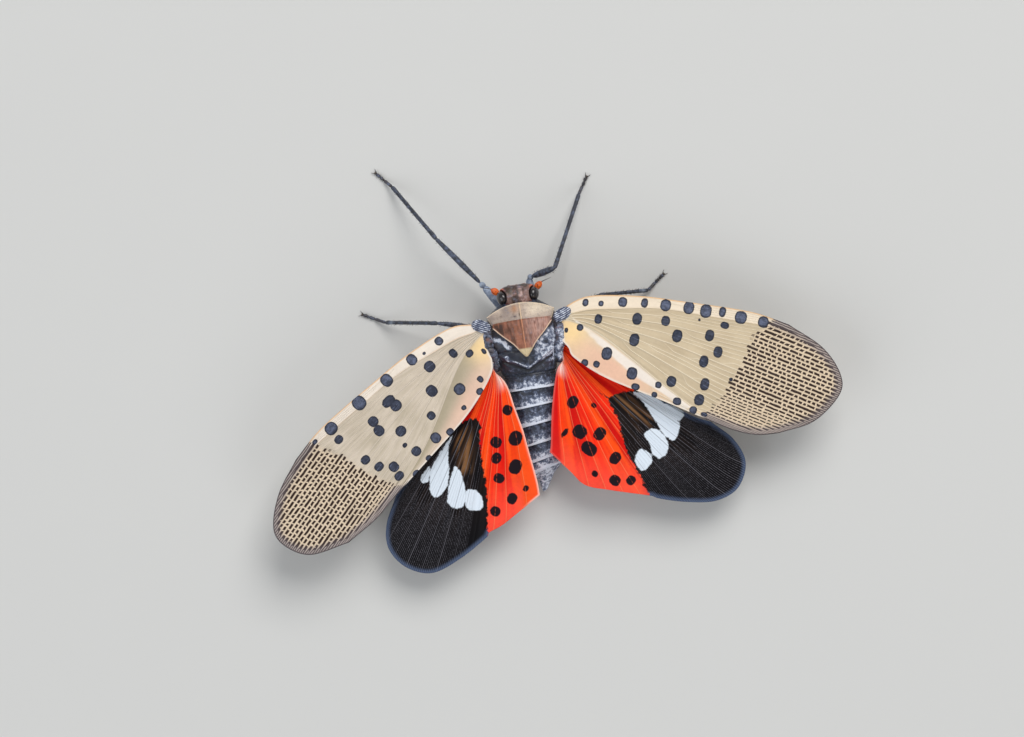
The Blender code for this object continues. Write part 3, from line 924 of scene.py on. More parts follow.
@dataclass(frozen=True)
class ForewingFinish:
    """The forewing's leathery membrane: veins, spots and the net of dark cells."""

    name: str
    vein: Rgb
    vein_strength: float
    spot: Rgb = shade(38, 41, 54)
    # pale blue-grey: painted sheen inside the dark spots, and the pale veins that cross them
    spot_pale: Rgb = shade(98, 106, 130)
    cell: Rgb = shade(52, 36, 29)
    cell_grey: Rgb = shade(88, 78, 80)
    net_vein: Rgb = shade(226, 204, 176)
    net_grey: Rgb = shade(158, 146, 146)
    rim: Rgb = shade(58, 50, 56)
    stem_width: float = 0.036
    vein_width: float = 0.028
    net_width: float = 0.06
    open_share: float = 0.16

    def make(self, effects: Effects) -> Material:
        """Builds the material.

        Args:
            effects: The shared node groups.

        Returns:
            The material.
        """
        material, graph, shader = new_material(self.name)
        row, pitch, age = graph.layer("row"), graph.layer("pitch"), graph.layer("age")
        edge, spots = graph.layer("edge"), graph.layer("spots")

        stem = line_distance(graph, row, pitch, FORE_STEM)
        veins = graph.ease(stem, self.stem_width * 0.6, self.stem_width * 1.5, 1.0, 0.0)
        for branch in FORE_BRANCHES:
            split = branch_mask(graph, effects, (row, pitch, age), branch, self.vein_width)
            veins = graph.most(veins, split)

        grain = graph.effect(effects.grain, Scale=5000.0, Contrast=0.16)
        colour = graph.shaded(graph.colour_layer("tint"), grain["Value"])
        shown = graph.times(veins, self.vein_strength)
        colour = graph.mix(shown, colour, self.vein)

        dark, netting, fringe = self.net(graph)
        veil = graph.mix(fringe, self.net_vein, self.net_grey)
        colour = graph.mix(graph.times(netting, 0.8), colour, veil)
        colour = graph.mix(dark, colour, graph.mix(fringe, self.cell, self.cell_grey))

        mark = graph.effect(effects.marking, Distance=spots, Ragged=0.018, Soft=0.02, Scale=5200.0)["Mask"]
        # painted sheen: patches inside each spot turn paler blue-grey, most on the costal spots; the streaks
        # below are the pale veins across the spots
        sheen_patches = graph.ease(graph.noise(3600.0, 3.0), 0.35, 0.62, 0.35, 1.0)
        pale = graph.times(graph.ease(spots, -0.14, -0.03, 1.0, 0.0), sheen_patches)
        pale = graph.times(pale, graph.layer("spot_sheen"))
        ink = graph.mix(pale, self.spot, self.spot_pale)
        streak = graph.times(veins, graph.ease(graph.noise(4000.0, 2.0), 0.42, 0.6))
        ink = graph.mix(graph.times(streak, 0.75), ink, self.spot_pale)
        colour = graph.mix(mark, colour, ink)
        band = graph.times(graph.ease(edge, 0.04, 0.09, 1.0, 0.0), netting)
        colour = graph.mix(graph.times(band, 0.85), colour, self.rim)
        graph.feed(shader.inputs["Base Color"], colour)

        graph.feed(shader.inputs["Roughness"], graph.ease(veins, 0.0, 1.0, 0.6, 0.45))
        shader.inputs["Specular IOR Level"].default_value = 0.25
        relief = graph.scaled(veins, 0.014, graph.times(grain["Height"], 0.006))
        relief = graph.minus(relief, graph.times(dark, 0.014))
        bump(graph, shader, relief, 1.0)
        return material

    def net(self, graph: Graph) -> tuple[Socket, Socket, Socket]:
        """The outer net: lanes cut into dark cells, with fine lines along the margin.

        Args:
            graph: The material's graph.

        Returns:
            The cells' mask, the net's own area, and the grey margin's share of it.
        """
        lane, pitch, reach = graph.layer("lane"), graph.layer("lane_pitch"), graph.layer("reach")
        edge = graph.layer("edge")
        wobble = graph.minus(graph.noise(2600.0, 2.0), 0.5)
        lane = graph.scaled(wobble, 0.28, lane)
        number = graph.math("FLOOR", lane)
        chance = graph.random(number)
        often = graph.scaled(graph.random(graph.plus(number, 0.5)), 0.5 / CELL_LENGTH, 0.8 / CELL_LENGTH)
        along = graph.scaled(wobble, 0.35, reach)
        cell = graph.scaled(along, often, graph.times(chance, 8.0))
        share = graph.math("FRACT", cell)
        rung = graph.math("MINIMUM", share, graph.minus(1.0, share))
        rung = graph.math("DIVIDE", rung, often)
        gap = graph.random(number, graph.math("FLOOR", graph.plus(cell, 0.5)))
        rung = graph.plus(rung, graph.math("LESS_THAN", gap, self.open_share))
        rung = graph.plus(rung, graph.ease(edge, 0.25, 0.5, 1.0, 0.0))
        line = line_distance(graph, lane, pitch, 1.0)
        between = line_distance(graph, graph.plus(lane, 0.5), pitch, 1.0)
        line = graph.math("MINIMUM", line, graph.plus(between, graph.ease(edge, 0.3, 0.6, 0.0, 9.0)))
        least = graph.ease(edge, 0.2, 0.7, self.net_width * 0.6, self.net_width)
        inset = graph.math("MINIMUM", line, graph.plus(rung, 0.01))
        dark = graph.ease(inset, graph.minus(least, 0.014), graph.plus(least, 0.016))
        first = graph.minus(along, graph.math("DIVIDE", share, often))
        dark = graph.times(dark, graph.ease(first, -0.16, -0.1))
        netting = graph.ease(reach, -0.15, 0.5)
        fringe = graph.times(graph.ease(edge, 0.2, 0.8, 1.0, 0.0), netting)
        return dark, netting, fringe


@dataclass(frozen=True)
class HindwingFinish:
    """The hindwing's thin membrane: the red fan, its spots, and the black and white outer part."""

    name: str = "hindwing_membrane"
    black: Rgb = shade(10, 8, 12)
    sooty: Rgb = shade(30, 21, 18)
    brown: Rgb = shade(136, 96, 60)
    white: Rgb = shade(222, 232, 243)
    spot: Rgb = shade(26, 16, 24)
    red_vein: Rgb = shade(255, 138, 92)
    dark_vein: Rgb = shade(118, 116, 124)
    rim: Rgb = shade(98, 114, 146)

    def make(self, effects: Effects) -> Material:
        """Builds the material.

        Args:
            effects: The shared node groups.

        Returns:
            The material.
        """
        material, graph, shader = new_material(self.name)
        row, pitch = graph.layer("row"), graph.layer("pitch")
        layers = row, pitch, graph.layer("age")
        edge = graph.layer("edge")
        edges = (("red", 0.15, 0.07, 2900.0), ("white", 0.06, 0.05, 4200.0), ("spots", 0.025, 0.03, 4200.0))
        masks = []
        for name, ragged, soft, scale in edges:
            feeds = {"Distance": graph.layer(name), "Ragged": ragged, "Soft": soft, "Scale": scale}
            masks.append(graph.effect(effects.marking, **feeds)["Mask"])
        red, white, spots = masks

        stems = graph.ease(line_distance(graph, row, pitch, HIND_STEM), 0.018, 0.045, 1.0, 0.0)
        stems = graph.most(stems, branch_mask(graph, effects, layers, HIND_FORK, 0.02))
        twigs = stems
        for branch in HIND_TWIGS:
            twigs = graph.most(twigs, branch_mask(graph, effects, layers, branch, 0.018))
        inside = graph.ease(row, TWIG_END + 0.5, TWIG_END + 1.5, 1.0, 0.0)
        twigs = graph.times(twigs, inside)
        stems = graph.times(stems, inside)
        fan = graph.ease(graph.layer("fan"), 0.018, 0.05, 1.0, 0.0)

        speckle = graph.ease(graph.noise(16000.0, 3.0), 0.45, 0.62)
        outer = graph.mix(graph.layer("sooty"), self.black, self.sooty)
        outer = graph.mix(graph.layer("brown"), outer, self.brown)
        lit = graph.times(twigs, graph.scaled(speckle, 0.6, 0.1))
        lit = graph.most(lit, graph.times(stems, 0.45))
        outer = graph.mix(lit, outer, self.dark_vein)
        rim = graph.ease(edge, 0.06, 0.42, 1.0, 0.0)
        tick = graph.ease(line_distance(graph, row, pitch, 0.5), 0.006, 0.03)
        rim = graph.times(rim, graph.scaled(tick, -0.5, 1.0))
        outer = graph.mix(rim, outer, self.rim)
        pale = graph.mix(graph.times(stems, 0.35), self.white, self.sooty)
        outer = graph.mix(white, outer, pale)

        grain = graph.effect(effects.grain, Scale=4200.0, Contrast=0.28)
        inner = graph.shaded(graph.colour_layer("tint"), grain["Value"])
        inner = graph.mix(graph.times(fan, 0.5), inner, self.red_vein)
        broken = graph.times(fan, graph.ease(graph.noise(4000.0, 2.0), 0.4, 0.6))
        inked = graph.times(spots, graph.scaled(broken, -0.3, 1.0))
        inner = graph.mix(inked, inner, self.spot)
        graph.feed(shader.inputs["Base Color"], graph.mix(red, outer, inner))

        graph.feed(shader.inputs["Roughness"], graph.ease(red, 0.0, 1.0, 0.45, 0.6))
        shader.inputs["Specular IOR Level"].default_value = 0.12
        ridge = graph.most(twigs, fan)
        relief = graph.scaled(ridge, 0.012, graph.times(grain["Height"], 0.008))
        bump(graph, shader, relief, 1.0)
        return material


@dataclass(frozen=True)
class FloorFinish:
    """A plain pale studio floor."""

    name: str = "pale_floor"
    colour: Rgb = shade(208, 208, 206)

    def make(self, effects: Effects) -> Material:
        """Builds the material.

        Args:
            effects: The shared node groups.

        Returns:
            The material.
        """
        material, graph, shader = new_material(self.name)
        grain = graph.effect(effects.grain, Scale=60.0, Contrast=0.02)
        graph.feed(shader.inputs["Base Color"], graph.shaded(self.colour, grain["Value"]))
        shader.inputs["Roughness"].default_value = 0.9
        return material


@dataclass(frozen=True)
class WingPlan:
    """The outline of one wing, in its own plan, and how it hangs on the body."""

    side: int
    hinge: tuple[float, float]
    sweep: float
    front: Outline
    outer: Outline
    back: Outline
    root: Outline

    def to_local(self, point: tuple[float, float]) -> tuple[float, float]:
        """A plan point of the body in the wing's own plan.

        Args:
            point: A point on the insect's left, mirrored for its right.

        Returns:
            The point in the wing's plan.
        """
        across = self.side * (self.side * point[0] - self.hinge[0])
        along = point[1] - self.hinge[1]
        turn = math.radians(self.sweep)
        x = across * math.cos(turn) + along * math.sin(turn)
        return x, -across * math.sin(turn) + along * math.cos(turn)

    def to_body(self, flat: Array, level: Array) -> Array:
        """Wing plan points and levels as points of the body's plan.

        Args:
            flat: Plan points.
            level: Their heights.

        Returns:
            The points in three dimensions.
        """
        turn = self.side * math.radians(self.sweep)
        x = self.side * flat[..., 0]
        y = flat[..., 1]
        across = self.hinge[0] + x * math.cos(turn) - y * math.sin(turn)
        along = self.hinge[1] + x * math.sin(turn) + y * math.cos(turn)
        return np.stack((across, along, level), axis=-1)

    def sheet(self, u: Array, chord: Array) -> Array:
        """Plan points between the wing's four edges.

        Args:
            u: Shares of the length, one for each column.
            chord: Shares of the chord, by row and column.

        Returns:
            Plan points, by row and column.
        """
        start, end = (np.array(self.to_local(point)) for point in self.root)
        front_corner = np.array(self.front[-1])
        back_corner = np.array(self.outer[-1])
        count = 600
        steps = np.linspace(0, 1, count + 1)
        front = curve_through([start, *self.front], count)
        back = curve_through([end, *self.back, back_corner], count)
        outer = curve_through([front_corner, *self.outer], count)

        def along(line: Array, share: Array) -> Array:
            """Points of a line at shares of its length."""
            return np.stack([np.interp(share, steps, axis) for axis in line.T], axis=-1)

        c = chord[..., None]
        near, far = along(front, u)[None], along(back, u)[None]
        base = start + (end - start) * c
        rim = along(outer, chord)
        tip = front_corner + (back_corner - front_corner) * c
        share = u[None, :, None]
        return near + (far - near) * c + base + (rim - base) * share - (base + (tip - base) * share)


def fine_rows(first: int, last: int, shares: Sequence[float] = (0.0, 0.14, 0.5, 0.86)) -> Array:
    """Row places with points on each vein, at both its sides and midway to the next.

    Args:
        first: The first vein.
        last: The last vein.
        shares: Places within each gap.

    Returns:
        The places, in order.
    """
    rows = [k + share for k in range(first, last) for share in shares]
    return np.array(rows + [float(last)])


def branch_ridge(row: Array, pitch: Array, age: Array, branch: Branch, width: float) -> Array:
    """Height share of the veins that split each gap, as the branch effect draws them.

    Args:
        row: Rows of the points.
        pitch: Millimetres to a row there.
        age: How far out the points lie.
        branch: Where the veins run.
        width: Half the ridge's width.

    Returns:
        0 to 1 at each point.
    """
    parent = np.floor(row / branch.spacing + 1e-9) * branch.spacing
    start = branch.onset + ONSET_SPREAD * row_wave(parent)
    grown = ease(0, 1, (age - start) / GROWTH)
    share = branch.leaves + (branch.joins - branch.leaves) * grown
    off = np.abs(row - parent - branch.spacing * share) * pitch
    return (1 - ease(0.3 * width, 1.6 * width, off)) * grown


def stem_ridge(row: Array, pitch: Array, spacing: float) -> Array:
    """Height share of the veins at every multiple of a spacing.

    Args:
        row: Rows of the points.
        pitch: Millimetres to a row there.
        spacing: Rows between the veins.

    Returns:
        0 to 1 at each point.
    """
    off = np.abs(row / spacing - np.round(row / spacing)) * spacing * pitch
    return 1 - ease(0.02, 0.09, off)


@dataclass
class WingGrid:
    """The laid-out points of one wing and the numbers that its finish reads."""

    u: Array
    row: Array
    flat: Array
    pitch: Array
    edge: Array

    @property
    def plan(self) -> Array:
        """All plan points, one row each."""
        return self.flat.reshape(-1, 2)


MEMBRANE = 0.09


@dataclass
class Wing:
    """What both kinds of wing share."""

    plan: WingPlan
    word: str
    spots: Sequence[Spot]
    columns: int

    def lay_out(self, rows: Array, chord: Array, shares: Array) -> WingGrid:
        """Lays the wing's points out.

        Args:
            rows: The place of each row, in veins.
            chord: Shares of the chord, by row and column.
            shares: Shares of the length, by column.

        Returns:
            The grid.
        """
        flat = self.plan.sheet(shares, chord)
        steps = np.linalg.norm(np.gradient(flat, axis=0), axis=-1)
        pitch = steps / np.gradient(rows)[:, None]
        loop = np.vstack((flat[0, ::3], flat[::3, -1], flat[-1, ::-3]))
        edge = np.abs(outline_distance(flat.reshape(-1, 2), loop)).reshape(pitch.shape)
        u = np.broadcast_to(shares[None, :], pitch.shape)
        return WingGrid(u, np.broadcast_to(rows[:, None], pitch.shape), flat, pitch, edge)

    def close(
        self, grid: WingGrid, level: Array, ridge: Array, layers: dict[str, Array], tint: Array
    ) -> Draft:
        """Makes the closed sheet, with its layers on both faces.

        Args:
            grid: The laid-out wing.
            level: Height of the middle of the sheet.
            ridge: Height of the relief on either face.
            layers: Number layers, by name.
            tint: The colour layer.

        Returns:
            The draft.
        """
        thinner = 1 - 0.55 * ease(0.35, 0.0, grid.edge)
        half = (MEMBRANE / 2 + ridge) * thinner
        upper = self.plan.to_body(grid.flat, level + half)
        lower = self.plan.to_body(grid.flat, level - half)
        draft = closed_sheet(upper, lower)
        shared = {"row": grid.row, "pitch": grid.pitch, "edge": grid.edge, **layers}
        draft.floats = {key: np.tile(value.ravel(), 2) for key, value in shared.items()}
        draft.colours = {"tint": np.tile(tint, (2, 1))}
        return draft


@dataclass(frozen=True)
class ForewingTones:
    """Colours of the forewing's membrane."""

    tan: Rgb
    costal: Rgb
    clavus: Rgb
    hind: Rgb
    # a darker tan: it mottles the whole membrane, and where shade_depth is set it is also the painted shadow
    # behind the claval suture
    shadow: Rgb
    shade_depth: float
    yellow: Rgb = shade(250, 216, 158)
    amber: Rgb = shade(226, 172, 108)
    suture: Rgb = shade(150, 124, 96)
    band: Rgb = shade(240, 230, 220)


@dataclass
class Forewing(Wing):
    """A forewing, with its costal band, clavus and outer net."""

    tones: ForewingTones
    net_start: Outline
    pale_band: Outline

    level_at_hinge = 4.8
    rise, droop, arch = 0.03, 0.0032, 0.25
    clavus_start, clavus_finish, clavus_end = 0.25, 0.97, 0.72
    first_row, last_row, clavus_row = -5, 27, 24

    def chord_shares(self, u: Array, rows: Array) -> Array:
        """Shares of the chord at each row and column.

        Args:
            u: Shares of the length.
            rows: Places of the rows, in veins.

        Returns:
            The shares.
        """
        run = np.minimum(u / self.clavus_end, 1)
        claval = self.clavus_start + (self.clavus_finish - self.clavus_start) * (1 - (1 - run) ** 1.8)
        costal = claval * (0.14 + 0.5 * np.maximum(1 - 2 * u, 0) ** 2)
        row = rows[:, None]
        front = costal * (row - self.first_row) / -self.first_row
        middle = costal + (claval - costal) * row / self.clavus_row
        behind = claval + (1 - claval) * (row - self.clavus_row) / (self.last_row - self.clavus_row)
        return np.where(row < 0, front, np.where(row < self.clavus_row, middle, behind))

    def level(self, grid: WingGrid) -> Array:
        """Height of the sheet: an arch from edge to edge, drooping outwards, slightly fluted.

        Args:
            grid: The laid-out wing.

        Returns:
            The heights.
        """
        x, y = grid.flat[..., 0], grid.flat[..., 1]
        arch = self.arch * (1 - ((y - 0.8) / 4.2) ** 2) * np.minimum(x / 8, 1)
        flutes = 0.04 * np.cos(grid.row * 2 * math.pi / FORE_STEM) * ease(0.03, 0.2, grid.u)
        fold = -0.1 * hump(grid.row, self.clavus_row, 0.8) * ease(0.02, 0.1, grid.u)
        fold *= 1 - ease(0.55, 0.72, grid.u)
        return self.level_at_hinge + self.rise * x - self.droop * x**2 + arch + flutes + fold

    def lanes(self, grid: WingGrid) -> dict[str, Array]:
        """Straight, even lanes of the outer net.

        Args:
            grid: The laid-out wing.

        Returns:
            Each point's lane, the lane's width, and how far beyond the net's start it lies.
        """
        start = spread(np.array(self.net_start), 60)
        x, y = grid.plan.T
        level = y
        for _ in range(6):
            level = y - LANE_SLOPE * (x - np.interp(level, start[:, 1], start[:, 0]))
        levels = np.linspace(level.min(), level.max(), 400)
        widths = LANE_WIDTH + (HIND_LANE_WIDTH - LANE_WIDTH) * ease(2.0, 3.2, levels)
        counts = np.cumsum((levels[1] - levels[0]) / widths)
        layers = {
            "lane": np.interp(level, levels, counts),
            "lane_pitch": np.interp(level, levels, widths),
            "reach": x - np.interp(level, start[:, 1], start[:, 0]),
        }
        return {name: values.reshape(grid.row.shape) for name, values in layers.items()}

    def tint(self, grid: WingGrid) -> Array:
        """Colour of the membrane before its veins and spots.

        Args:
            grid: The laid-out wing.

        Returns:
            One colour for each point.
        """
        plan = grid.plan
        u, row, edge = grid.u.ravel(), grid.row.ravel(), grid.edge.ravel()
        tones = self.tones
        past = row - self.clavus_row
        cloud = value_noise(level_places(*plan.T), 1.6, 5)
        fibres = value_noise(level_places(plan[:, 0] * 0.5, row * 0.9), 0.5, 6)
        colour = ground(tones.tan, u.shape)
        colour = blend(colour, tones.shadow, np.clip(0.25 + 0.2 * cloud + 0.25 * fibres, 0, 1))
        colour = blend(colour, tones.costal, ease(0.15, -0.1, row) * (0.9 + 0.1 * fibres))
        clavus = ease(-0.05, 0.1, past)
        pink = hump(plan[:, 0], 4.2, 3.4) * ease(0.4, 1.6, past)
        colour = blend(colour, tones.hind, 0.8 * clavus)
        colour = blend(colour, tones.clavus, 0.85 * pink)
        # painted shadow: a darker band behind the claval suture, crisp at the suture and fading backwards,
        # where shade_depth is set (the left wing)
        behind = tones.shade_depth * clavus * ease(2.4, 0.2, past)
        colour = blend(colour, tones.shadow, behind * ease(0.0, 0.12, u))
        band = outline_distance(plan, self.pale_band)
        colour = blend(colour, tones.band, 0.9 * ease(0.05, -0.06, band))
        suture = hump(past, -0.12, 0.1) * ease(0.04, 0.1, u) * ease(0.62, 0.5, u)
        colour = blend(colour, tones.suture, 0.6 * suture)
        base = np.exp(-((plan[:, 0] - 0.8) ** 2 + (plan[:, 1] - 0.75) ** 2) / 1.1)
        colour = blend(colour, tones.yellow, 0.95 * base * ease(-0.3, 0.3, past))
        line = hump(row, 0.0, 0.22) * (0.3 + 0.7 * ease(0.42, 0.0, u))
        colour = blend(colour, tones.amber, 0.8 * line)
        leading = ease(0.13, 0.03, edge) * (row < -1)
        colour = blend(colour, tones.amber, 0.75 * leading)
        trailing = ease(0.16, 0.05, edge) * (past > 1)
        return blend(colour, tones.band, 0.8 * trailing)

    def make(self, material: Material) -> Object:
        """Builds and places the wing.

        Args:
            material: Its material.

        Returns:
            The piece.
        """
        rows = fine_rows(self.first_row, self.last_row, (0.0, 0.12, 0.3, 0.5, 0.7, 0.88))
        shares = np.linspace(0, 1, self.columns)
        grid = self.lay_out(rows, self.chord_shares(shares[None, :], rows), shares)
        row, u, pitch = grid.row, grid.u, grid.pitch
        costal = np.clip(1.9 * (u - 0.33), 0, None)
        age = np.where(row < 0, costal, np.where(row >= self.clavus_row, np.minimum(u, 0.5), u))
        ridge = 0.035 * stem_ridge(row, pitch, FORE_STEM)
        for branch in FORE_BRANCHES:
            ridge = np.maximum(ridge, 0.022 * branch_ridge(row, pitch, age, branch, 0.045))
        layers = {
            "age": age,
            **self.lanes(grid),
            "spots": spot_distance(grid.plan, self.spots),
            # how much painted sheen the spots take, most on the costal spots
            "spot_sheen": np.clip(0.3 + ease(1.0, -0.5, row) + 0.3 * (row > self.clavus_row), 0, 1),
        }
        draft = self.close(grid, self.level(grid), ridge, layers, self.tint(grid))
        return place(draft, f"wing_fore_{self.word}", material, "forewing", f"forewing_{self.word}")


@dataclass
class Hindwing(Wing):
    """A hindwing, with its pleated red fan and its black and white outer part."""

    red: Outline
    white: Sequence[Outline]
    brown: Outline
    # colour of the inner panel beside the abdomen: on the right wing painted shade, deep crimson on the panel
    # that slopes down beside the abdomen; on the left wing the orange of its folded edge
    inner: Rgb
    inner_from: float
    pale_margin: float

    level_at_hinge = 3.75
    droop, pleat_depth = 0.0042, 0.14
    row_knots = (0, 8, 16, 24, 32, 38, 44, 50, 53, 56)
    share_knots = (0.0, 0.08, 0.2, 0.33, 0.46, 0.58, 0.7, 0.82, 0.93, 1.0)
    fan_veins = (32, 35, 38, 41, 44, 47, 50, 53)

    def level(self, grid: WingGrid, share: Array) -> Array:
        """Height of the sheet: level in front, pleated behind.

        Args:
            grid: The laid-out wing.
            share: Shares of the chord.

        Returns:
            The heights.
        """
        deep = np.clip((share - 0.45) / 0.15, 0, 1)
        pleats = self.pleat_depth * np.cos(share * 8 * math.pi) * deep
        flutes = 0.03 * np.cos(grid.row * math.pi / 4) * (1 - deep) * ease(0.05, 0.3, grid.u)
        droop = self.droop * grid.flat[..., 0] ** 2
        return self.level_at_hinge - droop + pleats * np.minimum(grid.u / 0.4, 1) + flutes

    def tint(self, grid: WingGrid, share: Array) -> Array:
        """Colour of the red fan, with painted shade deep in the folds and painted light on the ridges.

        Args:
            grid: The laid-out wing.
            share: Shares of the chord.

        Returns:
            One colour for each point.
        """
        u, rib, edge = grid.u.ravel(), share.ravel(), grid.edge.ravel()
        colour = ground(shade(252, 44, 12), u.shape)
        # painted shade and light of the pleats: deep red on the shaded face of each fold, bright orange on
        # its lit face
        phase = np.mod(rib * 4 + 0.62 + 0.08 * np.sin(u * 5), 1.0)
        fold = ease(1.0, 0.97, phase) * ease(0.45, 0.9, phase)
        colour = blend(colour, shade(205, 2, 6), fold * 0.85 * ease(1.05, 0.5, u))
        colour = blend(colour, shade(255, 88, 16), ease(0.5, 0.12, phase) * 0.75)
        streaks = value_noise(level_places(u * 3, rib * 60), 0.8, 11)
        colour = blend(colour, shade(214, 12, 8), ease(0.1, 0.8, streaks) * 0.4)
        colour = blend(colour, shade(255, 96, 40), ease(0.1, 0.8, -streaks) * 0.4)
        outer = ease(0.62, 1.0, u) * ease(0.46, 0.6, rib)
        colour = blend(colour, shade(255, 86, 66), 0.7 * outer)
        # the inner panel's tone, which on the right wing is painted shade
        colour = blend(colour, self.inner, 0.85 * ease(self.inner_from, self.inner_from + 0.03, rib))
        rim = ease(0.16, 0.05, edge) * ease(0.9, 0.97, rib)
        colour = blend(colour, shade(255, 196, 178), self.pale_margin * rim)
        foot = ease(0.2, 0.07, u) * hump(rib, 0.86, 0.12)
        colour = blend(colour, shade(255, 240, 232), 0.95 * foot)
        smudge = ease(0.9, 0.98, u) * hump(rib, 0.56, 0.04)
        return blend(colour, shade(104, 72, 84), 0.8 * smudge)

    def make(self, material: Material) -> Object:
        """Builds and places the wing.

        Args:
            material: Its material.

        Returns:
            The piece.
        """
        front = fine_rows(0, FAN_ROW)
        behind = fine_rows(FAN_ROW, self.row_knots[-1], (0.0, 0.12, 0.5, 0.88))
        rows = np.concatenate((front, behind[1:]))
        shares = np.linspace(0, 1, self.columns)
        chord = np.interp(rows, self.row_knots, self.share_knots)
        share = np.broadcast_to(chord[:, None], (len(rows), self.columns))
        grid = self.lay_out(rows, share, shares)
        row, u, pitch = grid.row, grid.u, grid.pitch
        fan = np.min([np.abs(row - vein) for vein in self.fan_veins], axis=0) * pitch
        ridge = 0.03 * stem_ridge(row, pitch, HIND_STEM)
        for branch in (HIND_FORK, *HIND_TWIGS):
            ridge = np.maximum(ridge, 0.018 * branch_ridge(row, pitch, u, branch, 0.04))
        ridge = np.where(row < TWIG_END, ridge, 0.03 * (1 - ease(0.02, 0.09, fan)))
        plan = grid.plan
        fibres = value_noise(level_places(u.ravel() * 5, row.ravel() * 0.8), 0.9, 12)
        brown = ease(0.45, -0.3, outline_distance(plan, self.brown)) * ease(-0.5, 0.5, fibres)
        sooty = ease(0.95, 0.55, u.ravel()) * np.clip(0.5 + 0.8 * fibres, 0, 1)
        white = np.min([outline_distance(plan, rounded(patch)) for patch in self.white], axis=0)
        layers = {
            "age": u,
            "fan": np.where(row < FAN_ROW - 0.5, 9.0, fan),
            "red": outline_distance(plan, self.red),
            "white": white,
            "spots": spot_distance(plan, self.spots),
            "brown": 0.85 * brown,
            "sooty": sooty,
        }
        draft = self.close(grid, self.level(grid, share), ridge, layers, self.tint(grid, share))
        return place(draft, f"wing_hind_{self.word}", material, "hindwing", f"hindwing_{self.word}")


FOREWING_FRONT = (
    (0.15, -1.04), (1.2, -1.86), (2.8, -2.36), (5.5, -2.85),
    (8.3, -3.1), (11.1, -3.33), (13.6, -3.42), (16.1, -3.12),
)
FOREWING_ROOT = ((2.74, -0.8), (2.74, 1.25))
HINDWING_ROOT = ((2.68, 1.45), (2.56, 2.6))

FORE_LEFT = WingPlan(
    side=1,
    hinge=(2.9, -0.2),
    sweep=36.5,
    front=FOREWING_FRONT,
    outer=((18.74, -2.25), (20.8, -0.74), (21.1, 0.8), (20.2, 2.55), (17.64, 3.85)),
    back=((0.95, 1.9), (1.9, 2.62), (4.8, 3.36), (8.5, 3.64), (12.7, 3.85), (15.0, 4.05)),
    root=FOREWING_ROOT,
)
FORE_RIGHT = WingPlan(
    side=-1,
    hinge=(-3.0, -0.4),
    sweep=21.0,
    front=FOREWING_FRONT,
    outer=((18.9, -2.01), (20.62, -0.32), (20.75, 1.21), (19.37, 3.37), (17.13, 4.72)),
    back=(
        (0.85, 2.0), (1.46, 2.64), (4.07, 3.56), (8.5, 4.29),
        (11.46, 4.83), (13.82, 5.23), (15.6, 5.2),
    ),
    root=FOREWING_ROOT,
)
HIND_LEFT = WingPlan(
    side=1,
    hinge=(2.3, 1.8),
    sweep=59.0,
    front=((0.6, -0.4), (5.5, -1.6), (10.9, -2.73), (12.05, -2.89)),
    outer=(
        (14.23, -2.71), (15.78, -1.88), (16.52, -0.22), (16.18, 1.71), (14.39, 3.22),
        (12.3, 4.35), (11.82, 4.42), (11.0, 5.07), (9.72, 5.79), (7.88, 6.77),
    ),
    back=((1.35, 1.42), (2.79, 2.74), (4.03, 3.88), (5.25, 4.83), (6.95, 6.17)),
    root=HINDWING_ROOT,
)
HIND_RIGHT = WingPlan(
    side=-1,
    hinge=(-2.5, 1.6),
    sweep=45.0,
    front=((0.6, -0.4), (5.5, -1.0), (10.38, -1.63), (12.09, -2.16)),
    outer=(
        (14.2, -2.12), (15.9, -1.3), (16.57, 0.52), (15.83, 2.26), (14.09, 3.64),
        (12.4, 4.58), (11.85, 4.75), (11.2, 5.1), (9.1, 6.23), (7.47, 7.0),
        (6.0, 6.85), (3.95, 6.6),
    ),
    back=((0.88, 1.65), (2.18, 3.95), (3.6, 6.0)),
    root=HINDWING_ROOT,
)

SPOTS_FORE_RIGHT = (
    (1.33, -1.47, 0.22, 0.28), (2.45, -1.65, 0.19, 0.21), (3.96, -2.09, 0.33, 0.36),
    (5.52, -2.37, 0.25, 0.35), (7.05, -2.54, 0.39, 0.44), (8.73, -2.73, 0.39, 0.47),
    (9.99, -2.76, 0.42, 0.5), (11.18, -2.96, 0.25, 0.37), (12.57, -2.86, 0.44, 0.47),
    (14.24, -2.89, 0.39, 0.42), (2.5, -0.51, 0.28, 0.36), (5.24, -1.13, 0.35, 0.44),
    (7.29, -1.43, 0.32, 0.37), (11.55, -2.05, 0.31, 0.26), (8.34, -0.55, 0.37, 0.47),
    (5.37, 0.4, 0.36, 0.47), (10.63, -1.09, 0.33, 0.43), (11.48, -0.05, 0.33, 0.42),
    (10.62, 0.84, 0.33, 0.44), (11.05, 2.44, 0.33, 0.46), (10.9, 3.62, 0.37, 0.42),
    (8.64, 2.76, 0.36, 0.4), (10.64, 4.45, 0.28, 0.28), (9.36, 4.08, 0.31, 0.28),
    (7.78, 3.21, 0.24, 0.24), (5.73, 2.81, 0.39, 0.46), (3.64, 1.8, 0.39, 0.47),
    (1.34, 0.37, 0.25, 0.25), (0.41, 0.78, 0.14, 0.19), (2.23, 2.79, 0.26, 0.26),
    (3.08, 2.72, 0.25, 0.25), (6.19, 3.7, 0.31, 0.25), (7.65, 3.97, 0.22, 0.21),
    (9.66, -2.04, 0.1, 0.1), (12.83, 1.69, 0.14, 0.14), (11.48, 4.58, 0.25, 0.17),
)
